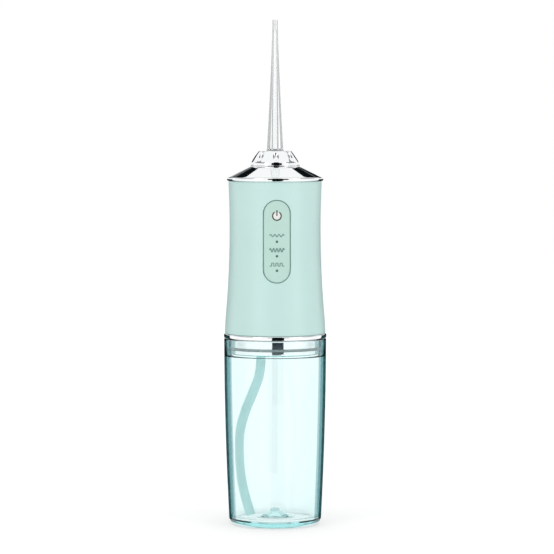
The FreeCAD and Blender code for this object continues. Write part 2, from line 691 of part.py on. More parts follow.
elbow_z = P.neck_floor_top + 3.4
elbow_out = fuse(
    "elbow_out",
    cyl("elbow_foot", 2.9, elbow_z - P.neck_floor_top, P.barb_x, 0, P.neck_floor_top),
    ball("elbow_knee", 2.9, P.barb_x, 0, elbow_z),
    cyl("elbow_arm", 2.9, P.barb_x - P.hose_x, P.hose_x, 0, elbow_z, "X"),
    ball("elbow_corner", 2.9, P.hose_x, 0, elbow_z),
    cyl("elbow_spigot", P.hose_bore_r, 14.5, P.hose_x, 0, elbow_z),
    cyl("elbow_collar", 2.4, 4.6, P.hose_x, 0, elbow_z),
)
elbow = cut(
    "elbow_cut",
    elbow_out,
    cyl("elbow_way_a", 0.9, elbow_z - P.neck_floor_top + 1, P.barb_x, 0, P.neck_floor_top - 1),
    cyl("elbow_way_b", 0.9, P.barb_x - P.hose_x, P.hose_x, 0, elbow_z, "X"),
    cyl("elbow_way_c", 0.9, 16, P.hose_x, 0, elbow_z),
)
keep(elbow, "suction_elbow")
hose_low = elbow_z + 5.2
hose = cut(
    "hose_cut",
    cyl("hose_out", P.hose_r, P.head_low_z - hose_low, P.hose_x, 0, hose_low),
    cyl("hose_in", P.hose_bore_r, P.head_low_z - hose_low + 2, P.hose_x, 0, hose_low - 1),
)
keep(hose, "inlet_hose")

# ----------------------------------------------------------------------------------------------------------
# Chassis: base disc, side rails, rear web, motor plate, axle post and pump deck, moulded in one piece
# ----------------------------------------------------------------------------------------------------------
base_z = P.neck_top_z
plate_z = P.motor_top_z
PUMP_SCREWS = [(10.5, -4.5), (10.5, 4.5), (-13.0, -7.7), (-13.0, 7.7)]
chassis_solid = fuse(
    "chassis_solid",
    cyl("chassis_disc", 24.9, 2.0, 0, 0, base_z),
    box("rail_left", -16.0, -13.6, -8.0, 5.4, base_z + 1, P.head_low_z),
    box("rail_right", 13.6, 16.0, -8.0, 5.4, base_z + 1, P.head_low_z),
    box("rear_web", -15.0, 15.0, 4.3, 5.4, base_z + 1, 167.0),
    box("motor_plate", -15.0, 15.0, -16.0, 5.0, plate_z, plate_z + 1.8),
    box("axle_post", -4.0, 4.0, -14.0, -10.9, plate_z, P.gear_z + 4.0),
    box("pump_deck", -15.0, 15.0, -8.0, 8.0, P.head_low_z - 2.2, P.head_low_z),
    box("deck_ear_left", -15.0, -10.9, -9.8, 9.8, P.head_low_z - 2.2, P.head_low_z),
    box("port_shelf", -8.6, 8.6, 7.2, 20.0, 172.9, 174.7),
    box("port_strut_left", -9.2, -8.0, 4.3, 12.0, 166.0, 184.0),
    box("port_strut_right", 8.0, 9.2, 4.3, 12.0, 166.0, 184.0),
    box("board_arm_left", -8.6, -7.0, P.board_y, -10.5, 144.6, 147.0),
    box("board_arm_right", 7.0, 8.6, P.board_y, -10.5, 144.6, 147.0),
    box("board_arm_up_left", -8.6, -7.0, P.board_y, -7.9, P.head_low_z - 2.0, P.head_low_z - 0.2),
    box("board_arm_up_right", 7.0, 8.6, P.board_y, -7.9, P.head_low_z - 2.0, P.head_low_z - 0.2),
)
chassis = cut(
    "chassis_cut",
    chassis_solid,
    cyl("hole_hose", 3.0, 6, P.hose_x, 0, base_z - 1),
    cyl("hole_end_cap", 5.0, 6, 0, P.motor_y, base_z - 1),
    cyl("hole_boss", 3.8, 6, 0, P.motor_y, plate_z - 1),
    cyl("hole_axle", P.axle_r, 8, 0, -16, P.gear_z, "Y"),
    cyl("hole_pump", P.cyl_r, 6, 0, 0, P.head_low_z - 3),
    *[cyl("hole_screw_%d" % i, 1.1, 6, x, y, base_z - 1) for i, (x, y) in enumerate(BOSSES)],
    cyl("hole_motor_a", 1.1, 6, 8.5, P.motor_y, plate_z - 1),
    cyl("hole_motor_b", 1.1, 6, -8.5, P.motor_y, plate_z - 1),
    *[cyl("hole_pump_%d" % i, 0.8, 6, x, y, P.head_low_z - 4) for i, (x, y) in enumerate(PUMP_SCREWS)],
    cyl("hole_cell", P.cell_r + 0.15, P.cell_len + 10, 0, P.cell_y, base_z + 0.8),
)
keep(chassis, "chassis_frame")


def screw(name, x, y, z_head, r_head, h_head, r_shank, length, axis="Z", down=True):
    """Pan-head screw that points down from z_head: the head's underside is at z_head."""
    head = cyl(name + "_head", r_head, h_head, x, y, z_head)
    shank = cyl(name + "_shank", r_shank, length, x, y, Q.of(z_head) - length)
    slot_a = box(name + "_slot_a", Q.of(x) - 0.9, Q.of(x) + 0.9, Q.of(y) - 0.2, Q.of(y) + 0.2, Q.of(z_head) + h_head - 0.6, Q.of(z_head) + h_head + 1)
    slot_b = box(name + "_slot_b", Q.of(x) - 0.2, Q.of(x) + 0.2, Q.of(y) - 0.9, Q.of(y) + 0.9, Q.of(z_head) + h_head - 0.6, Q.of(z_head) + h_head + 1)
    return cut(name, fuse(name + "_blank", head, shank), slot_a, slot_b)


keep(
    group(
        "chassis_screw_set",
        *[screw("chassis_screw_%d" % i, x, y, base_z + 2.0, 1.9, 1.4, 0.8, 7.5) for i, (x, y) in enumerate(BOSSES)],
    ),
    "chassis_screws",
)

# ----------------------------------------------------------------------------------------------------------
# Motor
# ----------------------------------------------------------------------------------------------------------
my, m0, m1 = P.motor_y, P.motor_low_z, P.motor_top_z
can = cut(
    "can_cut",
    fuse("can_out", cyl("can_tube", P.motor_r, m1 - m0 - 2.0, 0, my, m0 + 2.0), cyl("can_boss", 3.4, 1.4, 0, my, m1)),
    cyl("can_in", P.motor_r - 1.0, m1 - m0 - 3.2, 0, my, m0 + 1.0),
    cyl("can_bush", P.shaft_r + 0.04, 12, 0, my, m1 - 6),
    cyl("can_thread_a", 0.8, 4, 8.5, my, m1 - 2.5),
    cyl("can_thread_b", 0.8, 4, -8.5, my, m1 - 2.5),
)
keep(can, "motor_can")
end_cap = cut(
    "end_cap_cut",
    fuse("end_cap_out", cyl("end_cap_disc", P.motor_r, 2.0, 0, my, m0), cyl("end_cap_step", P.motor_r - 1.0, 1.6, 0, my, m0 + 1.9), cyl("end_cap_boss", 3.6, 1.6, 0, my, m0 - 1.6)),
    cyl("end_cap_bush", P.shaft_r + 0.04, 10, 0, my, m0 - 1.0),
)
keep(end_cap, "motor_end_cap")
magnet_ring = cut("magnet_ring", cyl("magnet_out", P.motor_r - 1.0, 18, 0, my, m0 + 7), cyl("magnet_in", P.motor_r - 2.9, 20, 0, my, m0 + 6))
magnet_cut = cut("magnet_cut", magnet_ring, box("magnet_gap_x", -1.6, 1.6, my - 13, my + 13, m0 + 5, m0 + 27))
keep(magnet_cut, "motor_magnets")
keep(cyl("shaft", P.shaft_r, P.shaft_top_z - m0 + 0.6, 0, my, m0 - 0.6), "motor_shaft")
core = extruded(
    "core_body", "XY_Plane", m0 + 8.0, 15.0,
    rings=[(0, my, P.motor_r - 4.0), (0, my, P.shaft_r)],
)
s = blank_sketch(core, "core_slot_outline", "XY_Plane", m0 + 23.0)
outline(s, [(-0.5, my + 3.6), (0.5, my + 3.6), (0.5, my + 9.0), (-0.5, my + 9.0)])
pocketed(core, "core_slot", s, 15)
keep(core, "rotor_core")
keep(cut("commutator_cut", cyl("commutator_out", 2.6, 3.0, 0, my, m0 + 4.2), cyl("commutator_in", P.shaft_r, 5, 0, my, m0 + 3.2)), "commutator")

# ----------------------------------------------------------------------------------------------------------
# Gears
# ----------------------------------------------------------------------------------------------------------
mod = P.gear_mod
pin_pitch = mod * P.pinion_teeth / 2
pin_z0 = P.gear_z - P.crown_teeth * mod / 2 - 2.2
pinion = extruded("pinion_body", "XY_Plane", pin_z0, 4.4, rings=[(0, 0, pin_pitch - mod * 1.2), (0, 0, P.shaft_r)])
s = blank_sketch(pinion, "pinion_tooth_outline", "XY_Plane", pin_z0)
outline(
    s,
    [
        (pin_pitch - mod * 1.35, -mod * 0.86), (pin_pitch - mod * 0.1, -mod * 0.76), (pin_pitch + mod * 0.55, -mod * 0.46), (pin_pitch + mod * 0.95, -mod * 0.2),
        (pin_pitch + mod * 0.95, mod * 0.2), (pin_pitch + mod * 0.55, mod * 0.46), (pin_pitch - mod * 0.1, mod * 0.76), (pin_pitch - mod * 1.35, mod * 0.86),
    ],
)
tooth = padded(pinion, "pinion_tooth", s, 4.4)
polar(pinion, "pinion_teeth", tooth, "Z_Axis", P.pinion_teeth.n)
place(pinion, 0, my, 0, Rot(V(0, 0, 1), 30))
keep(pinion, "pinion_gear")

crown_pitch = mod * P.crown_teeth / 2
pitch_y = my + pin_pitch  # plane where the crown's teeth roll on the pinion
crown_root = pitch_y + mod * 1.25
crown = body("crown_body")
s = blank_sketch(crown, "crown_disc_outline", "XZ_Plane", -crown_root)
circles(s, [(0, 0, crown_pitch + P.crown_face / 2 + 0.1), (0, 0, P.axle_r + 0.03), (P.crank_r, 0, P.crank_pin_r)])
padded(crown, "crown_disc", s, Q.of(-1.2) - crown_root, True)
s = blank_sketch(crown, "crown_hub_outline", "XZ_Plane", 10.6)
circles(s, [(0, 0, 2.1), (0, 0, P.axle_r + 0.03)])
padded(crown, "crown_hub", s, crown_root + 10.8, True)
# one tooth at the bottom of the ring: its section lies across the face, and it runs along the radius
s = blank_sketch(crown, "crown_tooth_outline", "XY_Plane", -(crown_pitch + P.crown_face / 2))
root_y, tip_y = crown_root + 0.15, pitch_y - mod * 0.9
outline(s, [(-mod * 0.86, root_y), (-mod * 0.16, tip_y), (mod * 0.16, tip_y), (mod * 0.86, root_y)])
tooth = padded(crown, "crown_tooth", s, P.crown_face)
polar(crown, "crown_teeth", tooth, "Y_Axis", P.crown_teeth.n)
place(crown, 0, 0, P.gear_z)
keep(crown, "drive_gear")

axle = fuse("axle_all", cyl("axle_rod", P.axle_r, 12.8, 0, -14.0, P.gear_z, "Y"), cyl("axle_head", 2.2, 0.8, 0, -14.8, P.gear_z, "Y"))
keep(axle, "gear_axle")
keep(cyl("crank", P.crank_pin_r, Q.of(2.7) - crown_root, P.crank_r, crown_root, P.gear_z, "Y"), "crank_pin")

# ----------------------------------------------------------------------------------------------------------
# Slotted yoke, piston and pump
# ----------------------------------------------------------------------------------------------------------
yoke_solid = fuse(
    "yoke_solid",
    box("yoke_plate", -6.4, 6.4, P.yoke_low_y, P.yoke_low_y + P.yoke_thick, P.gear_z - 3.2, P.gear_z + 3.2),
    box("yoke_stem", -2.9, 2.9, P.yoke_low_y, P.yoke_low_y + P.yoke_thick, P.gear_z + 3.0, 173.6),
    cyl("yoke_rod", 1.8, P.piston_top_z - P.piston_len - 173.2 + 3.0, 0, 0, 173.2),
)
slot_len = P.crank_r + P.crank_pin_r + 0.4
slot_v, slot_a = stadium_flat(0, P.gear_z, slot_len * 2, P.slot_half * 2)
slot = extruded("yoke_slot", "XZ_Plane", 3, 8, slot_v, slot_a, reversed_=True)
yoke = cut("yoke_cut", yoke_solid, slot)
keep(yoke, "drive_yoke")

pt, pl = P.piston_top_z, P.piston_len
piston = revolved(
    "piston_body",
    [
        (0, pt - pl + 3.0), (1.8, pt - pl + 3.0), (1.8, pt - pl), (P.bore_r - 0.06, pt - pl), (P.bore_r - 0.06, pt - 3.4), (3.0, pt - 3.4), (3.0, pt - 1.4), (P.bore_r - 0.06, pt - 1.4),
        (P.bore_r - 0.06, pt - 0.3), (P.bore_r - 0.4, pt), (0, pt),
    ],
)
keep(piston, "pump_piston")
cup = revolved("cup_body", [(3.0, pt - 3.3), (P.bore_r - 0.3, pt - 3.3), (P.bore_r - 0.02, pt - 1.8), (P.bore_r - 0.02, pt - 1.5), (P.bore_r - 0.5, pt - 1.5), (3.0, pt - 2.6)])
keep(cup, "piston_seal")

barrel = revolved(
    "barrel_body",
    [(P.bore_r, P.cyl_low_z), (P.cyl_r - 0.6, P.cyl_low_z), (P.cyl_r, P.cyl_low_z + 0.6), (P.cyl_r, P.head_low_z), (P.bore_r + 1.6, P.head_low_z), (P.bore_r + 1.6, P.head_low_z - 1.0), (P.bore_r, P.head_low_z - 1.0)],
)
keep(barrel, "pump_cylinder")
keep(cut("gasket_cut", cyl("gasket_out", P.bore_r + 1.6, 1.0, 0, 0, P.head_low_z - 1.0), cyl("gasket_in", P.bore_r + 0.1, 3.0, 0, 0, P.head_low_z - 2.0)), "pump_gasket")

hz0, hz1 = P.head_low_z, P.head_top_z
head_solid = fuse(
    "head_solid",
    box("head_block", -15.6, 7.4, -5.6, 5.6, hz0, hz0 + 8.6),
    cyl("head_tower", 5.8, hz1 - hz0, 0, 0, hz0),
    cyl("head_arm", 3.4, 5.2, P.hose_x, 0, hz0),
    box("head_bridge", P.hose_x, -15, -3.4, 3.4, hz0, hz0 + 5.2),
    cyl("head_spigot", P.hose_bore_r, 9.0, P.hose_x, 0, hz0 - 8.8),
    box("head_ear_right", 7.0, 13.0, -7.0, 7.0, hz0, hz0 + 2.4),
    box("head_ear_left", -15.0, -10.9, -9.8, 9.8, hz0, hz0 + 2.4),
)
gallery_z = hz0 + 1.6
cross_z = P.inlet_seat_z + 1.0
head = cut(
    "head_cut",
    head_solid,
    cyl("head_chamber", P.bore_r, 4.8, 0, 0, hz0),
    cyl("head_hose_way", 0.9, 12.0, P.hose_x, 0, gallery_z - 12.0),
    cyl("head_gallery", 0.85, P.inlet_x - P.hose_x, P.hose_x, 0, gallery_z, "X"),
    cyl("head_inlet_way", P.seat_r, P.inlet_seat_z - gallery_z, P.inlet_x, 0, gallery_z),
    cyl("head_inlet_chamber", P.valve_r, 10, P.inlet_x, 0, P.inlet_seat_z),
    cyl("head_cross", 0.8, 8.5, P.inlet_x, 0, cross_z, "X"),
    cyl("head_outlet_way", P.seat_r, P.outlet_seat_z - hz0 - 1, 0, 0, hz0 + 1),
    cyl("head_outlet_chamber", P.valve_r, 10, 0, 0, P.outlet_seat_z),
    *[cyl("head_screw_%d" % i, 1.1, 6, x, y, hz0 - 1) for i, (x, y) in enumerate(PUMP_SCREWS)],
)
keep(head, "pump_head")
seat_up = math.sqrt(P.ball_r.n**2 - P.seat_r.n**2)
ball_lift = root(P.ball_r * P.ball_r - P.seat_r * P.seat_r) + 0.02
keep(ball("inlet_ball_solid", P.ball_r, P.inlet_x, 0, P.inlet_seat_z + ball_lift), "inlet_valve_ball")
keep(ball("outlet_ball_solid", P.ball_r, 0, 0, P.outlet_seat_z + ball_lift), "outlet_valve_ball")
inlet_cap_z = hz0 + 8.6 - 1.0
keep(cyl("inlet_cap", P.valve_r, 1.0, P.inlet_x, 0, inlet_cap_z), "inlet_valve_cap")


def coil(name, x, y, z0, z1, r, wire, turns):
    """Compression spring: round wire on a helix between two heights."""
    pitch = (z1 - z0 - 2 * wire) / turns
    helix = Part.makeHelix(pitch, pitch * turns, r)
    helix.translate(V(0, 0, 0))
    ring = Part.Wire([Part.Circle(V(r, 0, 0), V(0, r, pitch / (2 * math.pi)), wire).toShape()])
    shape = Part.Wire(helix.Edges).makePipeShell([ring], True, True)
    o = doc.addObject("Part::Feature", name)
    o.Shape = shape
    o.Placement = FreeCAD.Placement(V(x, y, z0 + wire), Rot())
    return o


keep(
    coil("inlet_coil", P.inlet_x.n, 0, P.inlet_seat_z.n + seat_up + P.ball_r.n + 0.05, inlet_cap_z.n - 0.02, 1.2, 0.16, 3),
    "inlet_valve_spring",
)
fit_low = hz1 - 1.4
spring_top = hz1 + 0.6
keep(
    coil("outlet_coil", 0, 0, P.outlet_seat_z.n + seat_up + P.ball_r.n + 0.05, spring_top.n - 0.02, 1.2, 0.2, 3),
    "outlet_valve_spring",
)
# outlet fitting: plugs the top of the pump head and feeds the turning socket
fitting = revolved(
    "fitting_body",
    [
        (1.6, fit_low), (P.valve_r, fit_low), (P.valve_r, hz1), (4.6, hz1), (4.6, hz1 + 1.0), (2.2, hz1 + 1.0), (2.2, 199.4), (1.6, 199.4), (1.6, 201.0), (2.2, 201.0), (2.2, 202.2), (0.8, 202.2),
        (0.8, spring_top), (1.6, spring_top),
    ],
)
keep(fitting, "outlet_fitting")
keep(torus("socket_seal_torus", 1.96, 0.31, 0, 0, 200.2), "socket_seal")
keep(
    group(
        "pump_screw_set",
        *[screw("pump_screw_%d" % i, x, y, hz0 + 2.4, 1.9, 1.4, 0.8, 4.4) for i, (x, y) in enumerate(PUMP_SCREWS)],
    ),
    "pump_screws",
)
keep(
    group(
        "motor_screw_set",
        screw("motor_screw_a", 8.5, my, plate_z + 1.8, 1.7, 1.0, 0.8, 3.6),
        screw("motor_screw_b", -8.5, my, plate_z + 1.8, 1.7, 1.0, 0.8, 3.6),
    ),
    "motor_screws",
)

# ----------------------------------------------------------------------------------------------------------
# Battery and electronics
# ----------------------------------------------------------------------------------------------------------
cell = fuse(
    "cell_all",
    cyl("cell_tube", P.cell_r, P.cell_len, 0, P.cell_y, P.cell_low_z),
    cyl("cell_button", 3.0, 1.2, 0, P.cell_y, P.cell_low_z + P.cell_len),
)
keep(cell, "battery_cell")
tab_top = box("tab_top", -2.5, 2.5, 9.0, 17.0, P.cell_low_z + P.cell_len + 1.2, P.cell_low_z + P.cell_len + 1.4)
keep(tab_top, "battery_tab")

board = extruded(
    "board_body", "XZ_Plane", -P.board_y, 1.2,
    verts=[(-8.6, 140.5), (8.6, 140.5), (8.6, 192.0), (-8.6, 192.0)],
)
keep(board, "control_board")
keep(
    fuse("switch_all", box("switch_box", -3.0, 3.0, P.board_y - 2.4, P.board_y - 1.2, P.power_z - 3.0, P.power_z + 3.0), cyl("switch_top", 1.5, 0.6, 0, P.board_y - 2.9, P.power_z, "Y")),
    "tact_switch",
)
keep(
    group("led_set", *[box("led_%d" % i, -0.8, 0.8, P.board_y - 1.9, P.board_y - 1.2, z - 0.8, z + 0.8) for i, z in enumerate(led_z)]),
    "mode_leds",
)
chips = group(
    "chip_set",
    box("chip_main", -3.0, 3.0, P.board_y, P.board_y + 1.2, 168.0, 173.0),
    box("chip_charge", -2.0, 2.0, P.board_y, P.board_y + 1.2, 158.0, 161.0),
    box("chip_fet", -5.0, -2.0, P.board_y, P.board_y + 1.0, 150.0, 153.0),
)
keep(chips, "board_chips")


doc.recompute()

# ----------------------------------------------------------------------------------------------------------
# Checks and export
# ----------------------------------------------------------------------------------------------------------
bad = [o.Name for o in doc.Objects if set(o.State) & {"Invalid", "Error"}]
if bad:
    raise SystemExit("these objects failed to recompute: %s" % bad)
os.makedirs("parts", exist_ok=True)
for old in os.listdir("parts"):
    if old.endswith(".step"):
        os.remove(os.path.join("parts", old))
labels = set()
for o in nodes:
    shape = o.Shape
    if shape.isNull() or not shape.isValid() or not shape.Solids or shape.Volume <= 0:
        raise SystemExit("%s has no valid solid" % o.Label)
    if o.Label in labels:
        raise SystemExit("two sub-parts are named %s" % o.Label)
    labels.add(o.Label)
    shape.exportStep("parts/%s.step" % o.Label)
print("%d sub-parts" % len(nodes))
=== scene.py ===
import json
import math

import bmesh
import bpy
import numpy as np
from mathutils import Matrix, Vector


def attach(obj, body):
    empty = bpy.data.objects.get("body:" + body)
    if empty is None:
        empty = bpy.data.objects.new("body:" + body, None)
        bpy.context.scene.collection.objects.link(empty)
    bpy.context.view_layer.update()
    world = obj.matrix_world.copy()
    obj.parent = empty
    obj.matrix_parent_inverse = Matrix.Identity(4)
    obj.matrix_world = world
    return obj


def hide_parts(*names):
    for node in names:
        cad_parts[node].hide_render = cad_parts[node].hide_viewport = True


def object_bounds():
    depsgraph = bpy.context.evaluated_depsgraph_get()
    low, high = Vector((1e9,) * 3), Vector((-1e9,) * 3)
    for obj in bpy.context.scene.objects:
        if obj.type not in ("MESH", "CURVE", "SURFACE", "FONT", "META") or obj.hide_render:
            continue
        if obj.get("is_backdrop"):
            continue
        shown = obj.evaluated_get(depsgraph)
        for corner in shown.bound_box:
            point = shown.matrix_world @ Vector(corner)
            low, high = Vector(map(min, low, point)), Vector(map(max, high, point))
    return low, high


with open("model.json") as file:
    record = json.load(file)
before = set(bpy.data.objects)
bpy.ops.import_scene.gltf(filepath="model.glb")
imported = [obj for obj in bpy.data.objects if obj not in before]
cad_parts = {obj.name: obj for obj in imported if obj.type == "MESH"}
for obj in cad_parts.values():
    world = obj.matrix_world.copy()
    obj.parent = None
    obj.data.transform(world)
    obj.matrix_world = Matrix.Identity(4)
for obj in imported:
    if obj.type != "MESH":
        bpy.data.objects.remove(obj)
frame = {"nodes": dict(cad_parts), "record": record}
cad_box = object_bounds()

MM = 0.001
nodes = frame["nodes"]
scene = bpy.context.scene


# ------------------------------------------------------------------------------------------------ mesh helpers
def new_object(name, verts, faces, sharp=35.0):
    """verts in millimetres."""
    me = bpy.data.meshes.new(name)
    me.from_pydata([(x * MM, y * MM, z * MM) for x, y, z in verts], [], faces)
    me.validate()
    bm = bmesh.new()
    bm.from_mesh(me)
    bmesh.ops.remove_doubles(bm, verts=bm.verts, dist=1e-7)
    bmesh.ops.recalc_face_normals(bm, faces=bm.faces)
    bm.to_mesh(me)
    bm.free()
    me.polygons.foreach_set("use_smooth", [True] * len(me.polygons))
    me.set_sharp_from_angle(angle=math.radians(sharp))
    ob = bpy.data.objects.new(name, me)
    scene.collection.objects.link(ob)
    return ob


def arc(a, b, radius, side, n):
    """Points from a to b on an arc: side +1 bulges to the right of the way from a to b."""
    ax, ay = a
    bx, by = b
    mx, my = (ax + bx) / 2, (ay + by) / 2
    dx, dy = bx - ax, by - ay
    half = math.hypot(dx, dy) / 2
    rx, ry = dy / (2 * half), -dx / (2 * half)
    k = math.sqrt(max(radius**2 - half**2, 0.0))
    cx, cy = mx - rx * side * k, my - ry * side * k
    t0 = math.atan2(ay - cy, ax - cx)
    t1 = math.atan2(by - cy, bx - cx)
    d = (t1 - t0 + math.pi) % (2 * math.pi) - math.pi
    return [(cx + radius * math.cos(t0 + d * i / n), cy + radius * math.sin(t0 + d * i / n)) for i in range(n + 1)]


def soften(points, radii, n=4):
    """A closed outline whose corners are rounded: radii maps a point's number to its radius."""
    out = []
    m = len(points)
    for i, p in enumerate(points):
        r = radii.get(i, 0) if isinstance(radii, dict) else radii
        if not r:
            out.append(p)
            continue
        a, b = points[i - 1], points[(i + 1) % m]
        ua = np.array([a[0] - p[0], a[1] - p[1]], float)
        ub = np.array([b[0] - p[0], b[1] - p[1]], float)
        la, lb = np.linalg.norm(ua), np.linalg.norm(ub)
        ua, ub = ua / la, ub / lb
        ang = math.acos(max(-1, min(1, float(ua @ ub))))
        if ang > math.radians(172):
            out.append(p)
            continue
        back = min(r / math.tan(ang / 2), 0.48 * la, 0.48 * lb)
        q0, q1 = np.array(p) + ua * back, np.array(p) + ub * back
        for k in range(n + 1):
            t = k / n
            c = (1 - t) ** 2 * q0 + 2 * t * (1 - t) * np.array(p) + t * t * q1
            out.append((float(c[0]), float(c[1])))
    return out


def lathe(name, outline, segs=192, sharp=35.0):
    """A closed outline of (radius, height) turned about Z."""
    verts, rows = [], []
    for r, z in outline:
        if r < 1e-6:
            rows.append([len(verts)] * segs)
            verts.append((0.0, 0.0, z))
        else:
            rows.append(list(range(len(verts), len(verts) + segs)))
            verts += [(r * math.cos(2 * math.pi * k / segs), r * math.sin(2 * math.pi * k / segs), z) for k in range(segs)]
    faces = []
    m = len(outline)
    for i in range(m):
        a, b = rows[i], rows[(i + 1) % m]
        for k in range(segs):
            f = []
            for v in (a[k], a[(k + 1) % segs], b[(k + 1) % segs], b[k]):
                if v not in f:
                    f.append(v)
            if len(f) > 2:
                faces.append(tuple(f))
    return new_object(name, verts, faces, sharp)


def loft(verts, faces, rings):
    """Joins rings of points, each of the same count, into quads. Returns each ring's vertex numbers."""
    ids = []
    for ring in rings:
        if isinstance(ring[0], (int, np.integer)):
            ids.append(list(ring))
        else:
            ids.append(list(range(len(verts), len(verts) + len(ring))))
            verts += ring
    for a, b in zip(ids, ids[1:]):
        n = len(a)
        for k in range(n):
            faces.append((a[k], a[(k + 1) % n], b[(k + 1) % n], b[k]))
    return ids


# ------------------------------------------------------------------------------------------------ the handle's shape
WAIST_R, WAIST_Z, WAIST_ARC = 26.35, 172.0, 560.0
FLARE_Z, FLARE_ARC, FLARE_LOW_R, WALL = 124.0, 256.0, 29.2, 2.2


def waist(z, inset=0.0):
    return WAIST_R + WAIST_ARC - math.sqrt((WAIST_ARC + inset) ** 2 - (z - WAIST_Z) ** 2)


_out = arc((FLARE_LOW_R, 111.5), (waist(FLARE_Z), FLARE_Z), FLARE_ARC, 1, 60)
_in = arc((FLARE_LOW_R - WALL, 112.3), (waist(FLARE_Z, WALL), FLARE_Z), FLARE_ARC - WALL, 1, 60)


def r_out(z):
    if z >= FLARE_Z:
        return waist(z)
    return float(np.interp(z, [p[1] for p in _out], [p[0] for p in _out]))


def r_in(z):
    if z >= FLARE_Z:
        return waist(z, WALL)
    return float(np.interp(z, [p[1] for p in _in], [p[0] for p in _in]))


def stadium_hit(dx, dz, hw, hh):
    """Where a ray from the centre leaves an upright slot with round ends of half-width hw and half-height hh."""
    s = hh - hw
    n = math.hypot(dx, dz)
    dx, dz = dx / n, dz / n
    if abs(dx) > 1e-9:
        t = hw / abs(dx)
        if abs(t * dz) <= s:
            return t * dx, t * dz
    c = s if dz > 0 else -s
    b = -dz * c
    t = -b + math.sqrt(max(b * b - (c * c - hw * hw), 0))
    return t * dx, t * dz


def flat_stadium_hit(dx, dz, hw, hh):
    z, x = stadium_hit(dz, dx, hh, hw)
    return x, z


def window(angle0, steps, zs, cz, step_deg):
    """The edge of a rectangle of the grid, in order round it: (column, row) pairs."""
    lo = [j for j, z in enumerate(zs) if abs(z - (cz[0])) < 1e-6][0]
    hi = [j for j, z in enumerate(zs) if abs(z - (cz[1])) < 1e-6][0]
    cols = list(range(angle0 - steps, angle0 + steps + 1))
    ring = [(c, lo) for c in cols]
    ring += [(cols[-1], j) for j in range(lo + 1, hi + 1)]
    ring += [(c, hi) for c in cols[-2::-1]]
    ring += [(cols[0], j) for j in range(hi - 1, lo, -1)]
    return ring, set(cols[:-1]), lo, hi


